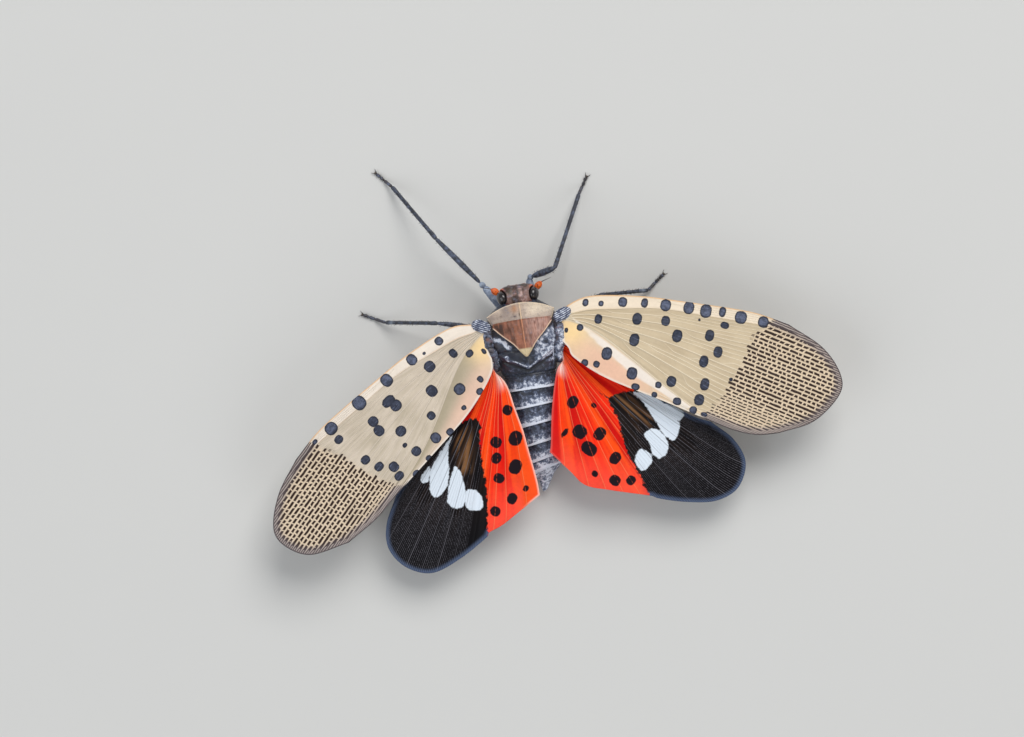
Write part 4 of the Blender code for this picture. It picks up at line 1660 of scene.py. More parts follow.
SPOTS_FORE_LEFT = (
    (2.67, -1.86, 0.31, 0.32), (4.05, -1.98, 0.13, 0.12), (5.01, -2.29, 0.38, 0.42),
    (7.35, -2.52, 0.43, 0.48), (9.92, -2.77, 0.5, 0.53), (12.67, -2.9, 0.48, 0.46),
    (12.84, -1.94, 0.34, 0.31), (2.56, -0.5, 0.28, 0.36), (1.73, 0.35, 0.31, 0.26),
    (0.88, 0.97, 0.16, 0.24), (4.44, -1.03, 0.41, 0.41), (5.58, 0.33, 0.4, 0.44),
    (2.5, 2.22, 0.22, 0.26), (4.06, 1.66, 0.43, 0.41), (3.15, 2.81, 0.28, 0.24),
    (8.33, -1.35, 0.53, 0.36), (8.16, -0.76, 0.43, 0.41), (10.15, -1.1, 0.38, 0.38),
    (10.32, -0.33, 0.38, 0.41), (9.22, 0.81, 0.4, 0.38), (6.87, 1.57, 0.31, 0.32),
    (4.79, 2.84, 0.2, 0.18), (6.74, 3.36, 0.29, 0.26), (7.78, 2.94, 0.38, 0.4),
    (9.46, 2.63, 0.36, 0.35), (9.74, 1.73, 0.19, 0.16), (9.18, 3.67, 0.24, 0.26),
    (12.51, 0.47, 0.36, 0.32), (12.16, 1.51, 0.37, 0.31), (11.41, 2.28, 0.37, 0.38),
    (11.6, 3.02, 0.38, 0.31), (10.61, 3.8, 0.3, 0.26), (14.2, -3.05, 0.22, 0.17),
)
SPOTS_HIND_RIGHT = (
    (3.13, 2.69, 0.39, 0.47), (3.99, 4.84, 0.17, 0.39), (4.82, 4.12, 0.53, 0.5),
    (6.08, 3.37, 0.42, 0.5), (6.1, 4.7, 0.61, 0.47), (8.05, 4.12, 0.39, 0.47),
    (7.52, 5.92, 0.25, 0.22), (8.99, 5.44, 0.42, 0.39), (9.94, 4.75, 0.33, 0.36),
    (4.5, 1.97, 0.22, 0.17),
)
SPOTS_HIND_LEFT = (
    (3.08, 2.23, 0.38, 0.36), (4.75, 3.55, 0.56, 0.48), (5.56, 2.35, 0.4, 0.42),
    (6.62, 2.83, 0.42, 0.36), (6.67, 4.34, 0.56, 0.46), (7.9, 3.55, 0.36, 0.4),
    (7.84, 5.65, 0.24, 0.2), (8.91, 5.01, 0.42, 0.36), (10.23, 4.24, 0.36, 0.38),
)
WHITE_RIGHT = (
    ((6.24, -0.5), (7.22, -1.04), (8.57, -1.2), (9.95, -0.84), (10.47, -0.5), (10.75, 0.49),
     (9.94, 0.64), (8.93, 0.28), (7.28, -0.35)),
    ((8.57, -1.2), (9.95, -1.58), (10.22, -0.86), (9.41, -0.81)),
    ((8.77, 1.05), (9.2, 0.63), (10.23, 0.78), (10.82, 1.46), (10.65, 2.22), (10.01, 2.23),
     (9.4, 1.77), (8.75, 1.52)),
    ((9.13, 2.52), (9.93, 2.38), (10.34, 2.73), (10.23, 3.64), (9.55, 3.59), (9.22, 3.28)),
)
WHITE_LEFT = (
    ((10.03, -1.7), (9.02, -1.44), (9.98, -1.13), (10.36, -1.43)),
    ((6.41, -0.8), (7.1, -0.71), (8.05, -0.4), (8.79, 0.0), (9.93, 0.29), (10.87, -0.04),
     (10.83, -0.6), (10.09, -0.99), (8.95, -1.28)),
    ((8.31, 0.29), (8.74, 0.97), (9.94, 1.78), (10.68, 1.95), (11.13, 1.51), (10.97, 0.81),
     (10.03, 0.46), (9.03, 0.28)),
    ((9.69, 1.72), (9.36, 2.31), (9.71, 2.99), (10.4, 3.27), (10.78, 2.8), (10.71, 2.1)),
)
RED_RIGHT = (
    (-2.0, -3.0), (6.14, -3.0), (6.14, -0.51), (5.51, 0.13), (5.1, 0.81), (4.26, 0.93),
    (4.67, 0.85), (5.42, 1.12), (6.3, 1.58), (6.97, 2.1), (7.82, 2.76), (8.63, 3.35),
    (9.28, 3.61), (10.31, 4.13), (11.53, 4.79), (12.4, 5.2), (11.0, 9.0), (-2.0, 9.0),
)
RED_LEFT = (
    (-2.0, -3.5), (5.6, -3.5), (5.17, -0.42), (4.67, -0.09), (4.54, 0.68), (5.47, 1.06),
    (6.23, 1.38), (7.4, 2.03), (8.38, 2.71), (9.57, 3.33), (11.02, 3.94), (12.01, 4.39),
    (12.9, 4.9), (11.0, 9.0), (-2.0, 9.0),
)
BROWN_RIGHT = ((5.2, 0.4), (6.4, -0.3), (8.3, 0.2), (8.7, 0.9), (8.2, 1.3), (6.8, 0.9))
BROWN_LEFT = ((5.4, 0.1), (6.3, -0.4), (7.9, 0.2), (8.6, 0.8), (8.2, 1.3), (6.6, 0.8))
NO_AREA = ((-9.0, -9.0), (-9.1, -9.0), (-9.0, -9.1))


def forewings(effects: Effects) -> list[Object]:
    """Builds both forewings.

    Args:
        effects: The shared node groups.

    Returns:
        The pieces.
    """
    right = Forewing(
        plan=FORE_RIGHT,
        word="right",
        spots=SPOTS_FORE_RIGHT,
        columns=236,
        tones=ForewingTones(
            tan=shade(208, 190, 160),
            costal=shade(240, 224, 202),
            clavus=shade(238, 190, 164),
            hind=shade(232, 206, 172),
            shadow=shade(186, 166, 136),
            shade_depth=0.0,
        ),
        net_start=(
            (14.82, -3.3), (13.68, -1.83), (13.43, -0.43), (13.2, 0.47), (12.76, 1.71),
            (12.46, 2.91), (11.82, 3.9), (11.27, 4.6),
        ),
        pale_band=(
            (0.53, -0.27), (3.02, 0.74), (5.72, 1.99), (8.27, 3.27), (10.49, 4.27),
            (9.97, 4.53), (8.39, 3.81), (5.93, 2.94), (3.67, 1.73), (0.87, 0.01),
        ),
    )
    left = Forewing(
        plan=FORE_LEFT,
        word="left",
        spots=SPOTS_FORE_LEFT,
        columns=236,
        tones=ForewingTones(
            tan=shade(212, 198, 180),
            costal=shade(240, 228, 214),
            clavus=shade(232, 192, 170),
            hind=shade(216, 198, 176),
            shadow=shade(170, 158, 134),
            shade_depth=0.95,
        ),
        net_start=(
            (14.41, -3.4), (13.98, -2.25), (13.39, -0.8), (13.05, 0.73), (12.71, 2.09),
            (12.11, 3.19), (11.52, 3.79),
        ),
        pale_band=NO_AREA,
    )
    vein_right = ForewingFinish("forewing_membrane_right", shade(238, 224, 198), 0.8)
    vein_left = ForewingFinish("forewing_membrane_left", shade(232, 220, 204), 0.42)
    return [right.make(vein_right.make(effects)), left.make(vein_left.make(effects))]


def hindwings(effects: Effects) -> list[Object]:
    """Builds both hindwings.

    Args:
        effects: The shared node groups.

    Returns:
        The pieces.
    """
    material = HindwingFinish().make(effects)
    # the right wing's deep crimson inner panel is painted shade
    right = Hindwing(
        HIND_RIGHT, "right", SPOTS_HIND_RIGHT, 180, RED_RIGHT, WHITE_RIGHT, BROWN_RIGHT,
        shade(206, 6, 14), 0.93, 0.15,
    )
    left = Hindwing(
        HIND_LEFT, "left", SPOTS_HIND_LEFT, 180, RED_LEFT, WHITE_LEFT, BROWN_LEFT,
        shade(255, 84, 20), 0.9, 0.9,
    )
    return [right.make(material), left.make(material)]


SLATE = shade(44, 50, 66)
NAVY = shade(24, 27, 38)
BELLY_TONE = shade(112, 104, 92)
RING_ENDS = (4.35, 5.6, 6.9, 8.3, 9.5, 10.15)


@dataclass
class BodySkin:
    """Thorax and abdomen in one skin, from the neck to the tail."""

    sides: int = 160
    steps: int = 520
    abdomen_front: float = 3.35
    wax_band: float = 0.24
    full_relief: float = 0.8

    # y, half width, top, middle, bottom, upper and lower fullness, sideways shift
    stations = (
        (-2.35, 1.0, 4.1, 3.3, 2.1, 2.6, 1.8, 0.0),
        (-2.0, 1.5, 4.5, 3.25, 1.8, 2.8, 1.7, 0.0),
        (-1.5, 2.2, 4.75, 3.2, 1.55, 3.0, 1.6, 0.0),
        (-1.0, 2.5, 4.9, 3.3, 1.42, 3.0, 1.6, 0.0),
        (-0.4, 2.5, 5.05, 3.5, 1.4, 3.0, 1.6, 0.0),
        (0.3, 2.54, 5.2, 3.55, 1.4, 3.0, 1.6, 0.0),
        (0.9, 2.48, 5.2, 3.5, 1.4, 3.0, 1.6, 0.0),
        (1.5, 2.3, 5.05, 3.35, 1.4, 3.0, 1.6, 0.0),
        (2.1, 2.13, 4.75, 3.1, 1.4, 2.8, 1.7, 0.0),
        (2.6, 2.1, 4.4, 2.85, 1.4, 2.5, 1.8, -0.02),
        (3.05, 2.0, 4.12, 2.6, 1.3, 2.2, 1.9, -0.04),
        (3.35, 1.92, 3.98, 2.35, 0.95, 2.1, 2.0, -0.05),
        (5.6, 1.88, 3.5, 2.07, 0.83, 2.1, 2.0, -0.14),
        (8.3, 1.66, 2.92, 1.73, 0.69, 2.1, 2.0, -0.25),
        (10.15, 1.42, 2.53, 1.5, 0.6, 2.1, 2.0, -0.32),
        (10.45, 0.98, 2.15, 1.42, 0.72, 2.0, 2.0, -0.26),
        (10.75, 0.62, 1.82, 1.3, 0.8, 2.0, 2.0, -0.18),
        (11.3, 0.4, 1.42, 1.1, 0.78, 2.0, 2.0, -0.02),
        (11.85, 0.16, 1.05, 0.9, 0.74, 2.0, 2.0, 0.1),
    )
    leg_roots = ((1.62, -1.75, 1.6), (2.12, -0.1, 1.8), (1.88, 2.0, 1.7))
    turn_places = (4.35, 5.6, 6.9, 8.3, 9.5, 10.15, 11.85)
    turn_angles = (0.0, 4.0, 7.0, 9.0, 12.0, 15.0, 18.0)

    def ring_phase(self, y: Array) -> tuple[Array, Array]:
        """Where each place lies within its ring of the abdomen.

        Args:
            y: Places along the body.

        Returns:
            The share of the ring's length, 0 in front, and the distance to its hind edge.
        """
        starts = np.array((self.abdomen_front, *RING_ENDS))
        ring = np.clip(np.searchsorted(starts, y, side="right") - 1, 0, len(RING_ENDS) - 1)
        begin, end = starts[ring], starts[ring + 1]
        return (y - begin) / (end - begin), end - y

    def relief(self, points: Array, angle: Array, y: Array) -> Array:
        """How far each point stands out from the plain body.

        Args:
            points: The points of the plain body.
            angle: Their angles round the body, 0 on the insect's left.
            y: Their places along it.

        Returns:
            Millimetres outwards.
        """
        x, z = points[..., 0], points[..., 2]
        top = np.clip(np.sin(angle), 0, 1)
        side = np.abs(np.cos(angle))
        out = np.zeros_like(y)
        for joint, depth in ((-0.55, 0.1), (1.42, 0.08), (3.2, 0.12)):
            out -= depth * hump(y, joint, 0.09)
        for at_x, at_y, at_z in self.leg_roots:
            reach = (np.abs(x) - at_x) ** 2 + (y - at_y) ** 2 + (z - at_z) ** 2
            out += 0.16 * np.exp(-reach / 0.22)
        thorax = 1 - ease(3.0, 3.4, y)
        seam = hump(y + 0.5 * (z - 3.0), 0.35, 0.08) + hump(y + 0.4 * (z - 3.0), 1.95, 0.08)
        out -= 0.07 * seam * side * thorax
        lobes = hump(np.abs(x), 1.25, 0.55) * hump(y, 1.75 - 0.3 * np.abs(x), 0.6)
        out += 0.16 * lobes * top
        vee = hump(y, 2.75 - 0.62 * np.abs(x), 0.09) * (np.abs(x) < 2.0)
        out += (0.14 * vee - 0.12 * hump(y, 2.98 - 0.5 * np.abs(x), 0.1)) * top
        out += 0.12 * hump(x, 0.0, 0.16) * hump(y, 2.4, 0.35) * top
        share, to_end = self.ring_phase(y)
        in_rings = ease(3.3, 3.36, y) * (1 - ease(10.1, 10.2, y))
        tile = 0.07 * ease(0.0, 0.5, share) + 0.035 * hump(to_end, 0.05, 0.07) - 0.07
        tile -= 0.05 * hump(share, 0.0, 0.03)
        out += tile * in_rings
        groove = hump(angle, math.radians(22), 0.06) + hump(angle, math.radians(158), 0.06)
        out -= 0.06 * groove * in_rings
        lumps = value_noise(points, 0.22, 3)
        fine = value_noise(points, 0.09, 4)
        return out + 0.014 * lumps + 0.006 * fine

    def coat(self, points: Array, angle: Array) -> tuple[Array, Array]:
        """Colours and wax of the skin.

        Args:
            points: Its points.
            angle: Their angles round the body.

        Returns:
            The colours and the amounts of wax.
        """
        x, y = points[..., 0], points[..., 1]
        up = np.sin(angle)
        share, to_end = self.ring_phase(y)
        rings = ease(3.25, 3.4, y)
        ripple = value_noise(points, 0.35, 8)
        colour = ground(NAVY, y.shape)
        colour = blend(colour, SLATE, np.clip(0.5 + 0.6 * ripple, 0, 1))
        hinge_skin = ease(3.0, 2.6, y) * ease(1.7, 2.3, np.abs(x)) * ease(0.0, 0.4, up)
        colour = blend(colour, shade(96, 84, 82), 0.5 * hinge_skin)
        colour = blend(colour, BELLY_TONE, ease(-0.35, -0.8, up) * 0.8)
        dark_rings = ease(-0.35, -0.8, up) * rings * hump(share, 0.35, 0.25)
        colour = blend(colour, SLATE, dark_rings)
        edge = self.wax_band * (1 + 0.6 * ripple)
        band = ease(edge, 0.3 * edge, to_end) * rings * ease(10.3, 10.1, y)
        fading = 0.3 * ease(1.1, 0.2, to_end) * rings
        middle = 0.12 * hump(x + 0.1, 0.0, 0.7) * rings
        wax = 0.22 + middle + fading + 0.56 * band * ease(-0.75, -0.2, up)
        tail = ease(10.15, 10.7, y)
        wax = np.maximum(wax, 0.6 * tail)
        wander = 0.12 * ripple
        slant = y - 0.74 + 0.6 * (x - 1.7) + 2 * wander
        left = 0.9 * hump(slant, 0.0, 0.2) * ease(0.7, 1.3, x) * ease(2.6, 2.2, x)
        lower = 0.66 * hump(y - 2.0 + 0.55 * (x - 1.3) + 2 * wander, 0.0, 0.1) * hump(x, 1.4, 0.45)
        right = ease(-0.3, -0.8, x) * ease(-2.45, -2.2, x) * ease(0.0, 0.5, y + 0.75 * (-x - 1.6))
        right = 0.62 * right * ease(2.6, 1.9, y + 0.2 * x)
        right -= 0.4 * hump(np.hypot(x + 1.55, y - 1.0), 0.0, 0.22)
        ridge = hump(y + wander, 2.72 - 0.55 * np.abs(x), 0.11) * ease(1.4, 0.9, np.abs(x))
        centre = hump(np.hypot(x, y - 2.62), 0.0, 0.22)
        above = ease(0.1, 0.5, up)
        for patch in (left, lower, right, 0.7 * ridge, 0.7 * centre):
            wax = np.maximum(wax, patch * above)
        hollow = hump(y - 2.2 + 0.6 * np.abs(x - 0.1), 0.0, 0.3) * ease(0.25, 0.5, x) * ease(2.1, 1.8, x)
        wax = wax * (1 - 0.7 * hollow * above * (wax < 0.45))
        gap = hump(y - 2.98 + 0.5 * np.abs(x), 0.0, 0.1) * (np.abs(x) < 1.9) * above
        colour = blend(colour, shade(12, 12, 18), 0.85 * gap)
        wax = wax * (1 - 0.8 * gap)
        wax = np.where((y < -0.3) & (up > 0), 0.2, wax)
        return colour, wax

    def make(self, material: Material) -> Object:
        """Builds and places the skin.

        Args:
            material: Its material.

        Returns:
            The piece.
        """
        table = np.array(self.stations)
        even = np.linspace(table[0, 0], table[-1, 0], self.steps)
        lips = np.concatenate([end + np.linspace(-0.2, 0.1, 16) for end in RING_ENDS])
        ys = np.unique(np.concatenate((even, lips)).round(4))
        shape = np.stack([np.interp(ys, table[:, 0], column) for column in table.T[1:]], axis=1)
        for _ in range(10):
            shape[1:-1] = (shape[:-2] + 2 * shape[1:-1] + shape[2:]) / 4
        half, top, middle, bottom, upper, lower, shift = (column[:, None] for column in shape.T)
        angle = np.linspace(0, 2 * math.pi, self.sides, endpoint=False)[None, :]
        across, up = np.cos(angle), np.sin(angle)
        power = np.where(up >= 0, upper, lower)
        height = np.where(up >= 0, top - middle, middle - bottom)
        x = shift + half * np.sign(across) * np.abs(across) ** (2 / power)
        z = middle + height * np.sign(up) * np.abs(up) ** (2 / power)
        y = np.broadcast_to(ys[:, None], x.shape)
        rings = np.stack((x, y, z), axis=-1)
        turn = np.broadcast_to(angle, x.shape)
        out = self.relief(rings, turn, y)
        away = np.stack((across + 0 * x, 0 * x, up + 0 * x), axis=-1)
        rings = rings + away * (out * np.minimum(half / self.full_relief, 1))[..., None]
        colour, wax = self.coat(rings, turn)
        lean = np.tan(np.radians(np.interp(ys, self.turn_places, self.turn_angles)))[:, None]
        rings[..., 1] += lean * (rings[..., 0] - shift)
        draft = loft(rings)
        ends = (0, -1)
        colours = np.vstack((colour.reshape(-1, 3), *(colour[k].mean(axis=0) for k in ends)))
        draft.colours = {"tint": colours}
        draft.floats = {"wax": np.concatenate((wax.ravel(), [wax[k].mean() for k in ends]))}
        rings = "prothorax", "mesothorax", "metathorax", "abdomen"
        return place(draft, "body_skin", material, "thorax_flank", *rings)


@dataclass
class Plate:
    """A shield on the back, with its edges turned down to the skin."""

    name: str
    slot: str
    front: Outline
    back: Outline
    columns: int = 120
    rows: int = 60
    skirt: float = 0.75

    def crown(self, x: Array, y: Array) -> Array:
        """Height of the plate's upper face; each kind has its own."""
        raise NotImplementedError

    def tint(self, x: Array, y: Array, rim: Array) -> tuple[Array, Array]:
        """Colours and wax of the plate; each kind has its own."""
        raise NotImplementedError

    def make(self, material: Material) -> Object:
        """Builds and places the plate.

        Args:
            material: Its material.

        Returns:
            The piece.
        """
        front = curve_through([(-x, y) for x, y in reversed(self.front[1:])] + list(self.front), self.columns)
        back = curve_through([(-x, y) for x, y in reversed(self.back[1:])] + list(self.back), self.columns)
        share = np.linspace(0, 1, self.rows)[:, None, None]
        flat = front[None] + (back - front)[None] * share
        x, y = flat[..., 0], flat[..., 1]
        loop = np.vstack((flat[0, ::2], flat[::2, -1], flat[-1, ::-2], flat[::-2, 0]))
        rim = np.abs(outline_distance(flat.reshape(-1, 2), loop)).reshape(x.shape)
        grain = value_noise(level_places(x, y), 0.16, 21)
        wrinkle = value_noise(level_places(x * 0.6, y * 2.2), 0.22, 22)
        high = self.crown(x, y) + 0.012 * grain + 0.014 * wrinkle - 0.09 * ease(0.12, 0.0, rim)
        colour, wax = self.tint(x, y, rim)
        upper = np.stack((x, y, high), axis=-1)
        lower = np.stack((x * 0.985, y, high - self.skirt), axis=-1)
        draft = closed_sheet(upper, lower)
        draft.colours = {"tint": np.tile(colour.reshape(-1, 3), (2, 1))}
        draft.floats = {"wax": np.tile(wax.ravel(), 2)}
        return place(draft, self.name + "_shield", material, self.slot, self.name)


@dataclass
class Pronotum(Plate):
    """The collar plate behind the head."""

    def crown(self, x: Array, y: Array) -> Array:
        """Height of the plate: a low roof that rises backwards, with a keel and two pits.

        Args:
            x: Places across.
            y: Places along.

        Returns:
            The heights.
        """
        back = ease(-1.95, -0.6, y)
        keel = 0.06 * hump(x, 0.0, 0.07) - 0.03 * hump(np.abs(x), 0.16, 0.08)
        pits = 0.05 * hump(np.abs(x), 0.62, 0.13) * hump(y, -1.2, 0.13)
        brow = 0.05 * hump(y, -1.9 + 0.1 * x**2, 0.09)
        return 5.12 + 0.3 * back - 0.085 * x**2 + keel - pits + brow

    def tint(self, x: Array, y: Array, rim: Array) -> tuple[Array, Array]:
        """Colours of the plate.

        Args:
            x: Places across.
            y: Places along.
            rim: Distances to its edge.

        Returns:
            The colours and the amounts of wax.
        """
        places = level_places(x, y)
        cloud = value_noise(places, 0.55, 31)
        speck = value_noise(places @ turned(0, 0, 33).T, 0.07, 32)
        colour = ground(shade(198, 178, 160), x.shape)
        colour = blend(colour, shade(146, 130, 122), np.clip(0.45 + 0.5 * cloud, 0, 1))
        colour = blend(colour, shade(228, 212, 186), 0.55 * ease(-0.2, -1.0, x) * ease(-0.8, -1.4, y))
        colour = blend(colour, shade(170, 112, 66), 0.75 * hump(x, 0.4, 0.28) * hump(y, -1.62, 0.3))
        colour = blend(colour, shade(104, 88, 82), 0.24 * ease(0.1, 0.8, speck))
        colour = blend(colour, shade(120, 104, 96), 0.5 * hump(y, -0.72, 0.14) * ease(0.3, 1.2, x))
        colour = blend(colour, shade(234, 214, 188), 0.75 * ease(0.11, 0.03, rim))
        colour = blend(colour, shade(236, 202, 160), 0.8 * hump(x, 0.0, 0.04))
        mark = hump(x, 0.09, 0.05) * hump(y, -1.15, 0.13) + hump(x, 0.45, 0.12) * hump(y, -1.05, 0.06)
        mark += 0.6 * hump(x, 1.45, 0.1) * hump(y, -1.2, 0.07)
        mark += 0.5 * hump(x, -0.35, 0.08) * hump(y, -1.2, 0.06)
        colour = blend(colour, shade(60, 44, 44), np.clip(mark, 0, 1) * 0.85)
        return colour, np.full(x.shape, 0.16)


@dataclass
class Mesonotum(Plate):
    """The chestnut triangle on the middle of the back."""

    def crown(self, x: Array, y: Array) -> Array:
        """Height of the plate: a low dome with a keel and two side ridges.

        Args:
            x: Places across.
            y: Places along.

        Returns:
            The heights.
        """
        rise = 0.42 * ease(-0.75, 0.35, y)
        fall = 0.16 * ease(0.9, 1.95, y)
        keel = 0.05 * hump(x, 0.0, 0.06)
        side = 0.045 * hump(np.abs(x), 0.95 - 0.35 * (y + 0.3), 0.07) * ease(1.4, 0.9, y)
        return 5.5 + rise - fall - 0.075 * x**2 + keel + side

    def tint(self, x: Array, y: Array, rim: Array) -> tuple[Array, Array]:
        """Colours of the plate.

        Args:
            x: Places across.
            y: Places along.
            rim: Distances to its edge.

        Returns:
            The colours and the amounts of wax.
        """
        streaked = level_places(x * 2.6, y * 0.5)
        streak = value_noise(streaked, 0.3, 41)
        thread = value_noise(streaked, 0.11, 42)
        colour = ground(shade(152, 96, 72), x.shape)
        colour = blend(colour, shade(90, 54, 40), np.clip(0.35 + 0.7 * streak + 0.3 * thread, 0, 1))
        pale = np.clip(0.75 - 0.6 * thread, 0, 1) * ease(0.15, -0.8, x)
        colour = blend(colour, shade(186, 146, 134), 0.75 * pale)
        colour = blend(colour, shade(206, 126, 74), 0.4 * ease(0.3, 0.9, streak) * ease(0.0, 0.5, x))
        dark = ease(0.7, 1.6, x + 0.3 * y + 0.5 * streak) * ease(0.02, 0.2, rim)
        dark = np.maximum(dark, 0.75 * hump(x, 1.1, 0.45) * hump(y, -0.1, 0.35))
        dark = np.maximum(dark, 0.5 * ease(0.1, 0.7, streak) * ease(-0.1, 0.4, x))
        colour = blend(colour, shade(44, 29, 24), 0.85 * dark)
        hind = y > -0.42
        colour = blend(colour, shade(240, 208, 182), 0.95 * ease(0.1, 0.05, rim) * hind)
        colour = blend(colour, shade(222, 152, 112), 0.7 * hump(x, 0.0, 0.04))
        colour = blend(colour, shade(206, 188, 150), 0.95 * ease(1.28, 1.4, y))
        return colour, np.full(x.shape, 0.1)


HEAD_TONE = shade(128, 98, 90)
EYE_CENTRE = np.array((1.12, -2.5, 3.84))
EYE_RADII = np.array((0.43, 0.54, 0.6))
EYE_LEAN = -8.0
EYE_TURN = 18.0


def eye_reach(points: Array, side: int) -> Array:
    """How far points lie from an eye's middle, as a share of the eye's own size.

    Args:
        points: Points of the body's plan, by row and column.
        side: 1 for the left eye, -1 for the right.

    Returns:
        1 on the eye's surface, less inside it.
    """
    turn = turned(0, EYE_LEAN * side, EYE_TURN * side)
    local = (points - EYE_CENTRE * np.array((side, 1, 1))) @ turn
    return np.linalg.norm(local / EYE_RADII, axis=-1)


@dataclass
class Head:
    """The head's capsule: flat crown, orbits, and a steep face with ridges above the beak."""

    sides: int = 200
    rings: int = 190
    orbit_depth: float = 0.36

    # y, half width, top, middle, bottom
    sections = (
        (-3.36, 0.1, 3.6, 3.4, 3.15),
        (-3.35, 0.55, 3.85, 3.42, 2.9),
        (-3.31, 0.88, 4.02, 3.4, 2.6),
        (-3.2, 1.14, 4.2, 3.33, 2.2),
        (-2.98, 1.25, 4.38, 3.3, 1.78),
        (-2.6, 1.29, 4.54, 3.3, 1.5),
        (-2.3, 1.27, 4.56, 3.3, 1.55),
        (-2.05, 1.2, 4.52, 3.3, 1.75),
        (-1.85, 1.05, 4.45, 3.3, 1.9),
    )

    def tint(self, points: Array, up: Array, orbit: Array) -> Array:
        """Colours of the head.

        Args:
            points: Its points.
            up: 1 on the crown, -1 below.
            orbit: Distances to the eyes, in their own sizes.

        Returns:
            One colour for each point.
        """
        x, y, z = points[..., 0], points[..., 1], points[..., 2]
        rough = value_noise(points, 0.1, 51)
        broad = value_noise(points, 0.3, 52)
        face = ease(-2.9, -3.25, y)
        colour = ground(HEAD_TONE, x.shape)
        colour = blend(colour, shade(186, 152, 146), ease(-0.1, 0.4, rough) * hump(x, -0.15, 0.5))
        colour = blend(colour, shade(52, 38, 33), ease(0.0, 0.45, broad) * 0.85)
        colour = blend(colour, shade(54, 46, 28), 0.85 * hump(np.hypot(x - 0.5, y + 2.85), 0.0, 0.26))
        colour = blend(colour, shade(48, 34, 30), 0.8 * hump(np.hypot(x + 0.42, y + 2.95), 0.0, 0.15))
        colour = blend(colour, shade(36, 24, 24), 0.7 * hump(x, 0.03, 0.03) * ease(-2.2, -2.6, y))
        colour = blend(colour, shade(26, 20, 22), 0.85 * ease(0.55, 0.1, up) * ease(-3.3, -3.0, y))
        colour = blend(colour, shade(30, 22, 22), 0.8 * hump(y, -3.27, 0.05) * ease(0.2, 0.6, up))
        tan_face = face * ease(0.5, 0.0, up) * (0.5 + 0.4 * rough)
        colour = blend(colour, shade(128, 94, 66), np.clip(tan_face, 0, 1))
        rim = hump(orbit, 1.22, 0.09)
        warm = ease(-2.68, -3.0, y)
        colour = blend(colour, shade(38, 26, 26), 0.85 * rim * (1 - warm))
        warm *= ease(0.85, 1.1, np.abs(x)) * ease(3.1, 3.5, z)
        colour = blend(colour, shade(222, 104, 48), 0.9 * hump(orbit, 1.3, 0.16) * warm)
        return blend(colour, shade(120, 40, 34), 0.7 * hump(y, -2.02, 0.08) * ease(0.5, 1.0, np.abs(x)))

    def make(self, material: Material) -> Object:
        """Builds and places the head.

        Args:
            material: Its material.

        Returns:
            The piece.
        """
        shape = curve_through(self.sections, self.rings)
        y, half, top, middle, bottom = (column[:, None] for column in shape.T)
        angle = np.linspace(0, 2 * math.pi, self.sides, endpoint=False)[None, :]
        across, up = np.cos(angle), np.sin(angle)
        power = np.where(up >= 0, 3.4, 1.5)
        height = np.where(up >= 0, top - middle, middle - bottom)
        x = half * np.sign(across) * np.abs(across) ** (2 / power)
        z = middle + height * np.sign(up) * np.abs(up) ** (2 / power)
        y, up = y + 0 * x, up + 0 * x
        face = ease(-2.6, -3.2, y) * (up < 0.6)
        crown = ease(0.7, 0.98, up)
        lateral = 0.62 * np.clip((z - 1.4) / 2.4, 0.2, 1)
        ridges = 0.05 * hump(x, 0.0, 0.05) + 0.045 * hump(np.abs(x), lateral, 0.05)
        y = y - face * (ridges - 0.05 * hump(z, 2.35, 0.06))
        z = z + crown * (0.05 * hump(y, -3.24, 0.06) + 0.035 * hump(x, 0.0, 0.04))
        z = z - crown * 0.07 * hump(np.abs(x), 0.36, 0.2) * hump(y, -2.75, 0.35)
        points = np.stack((x, y, z), axis=-1)
        orbit = np.minimum(eye_reach(points, 1), eye_reach(points, -1))
        inwards = np.stack((-x, 0 * x, 3.3 - z), axis=-1)
        inwards /= np.linalg.norm(inwards, axis=-1)[..., None] + 1e-6
        sunk = self.orbit_depth * ease(1.2, 1.02, orbit) - 0.05 * hump(orbit, 1.3, 0.08)
        points = points + inwards * sunk[..., None]
        rough = value_noise(points, 0.11, 51)
        points[..., 2] += 0.018 * rough * crown
        draft = loft(points)
        colour = self.tint(points, up, orbit)
        ends = (colour[0].mean(axis=0), colour[-1].mean(axis=0))
        draft.colours = {"tint": np.vstack((colour.reshape(-1, 3), *ends))}
        draft.floats = {"wax": np.full(len(draft.points), 0.22)}
        return place(draft, "head_capsule", material, "head_shell", "head")


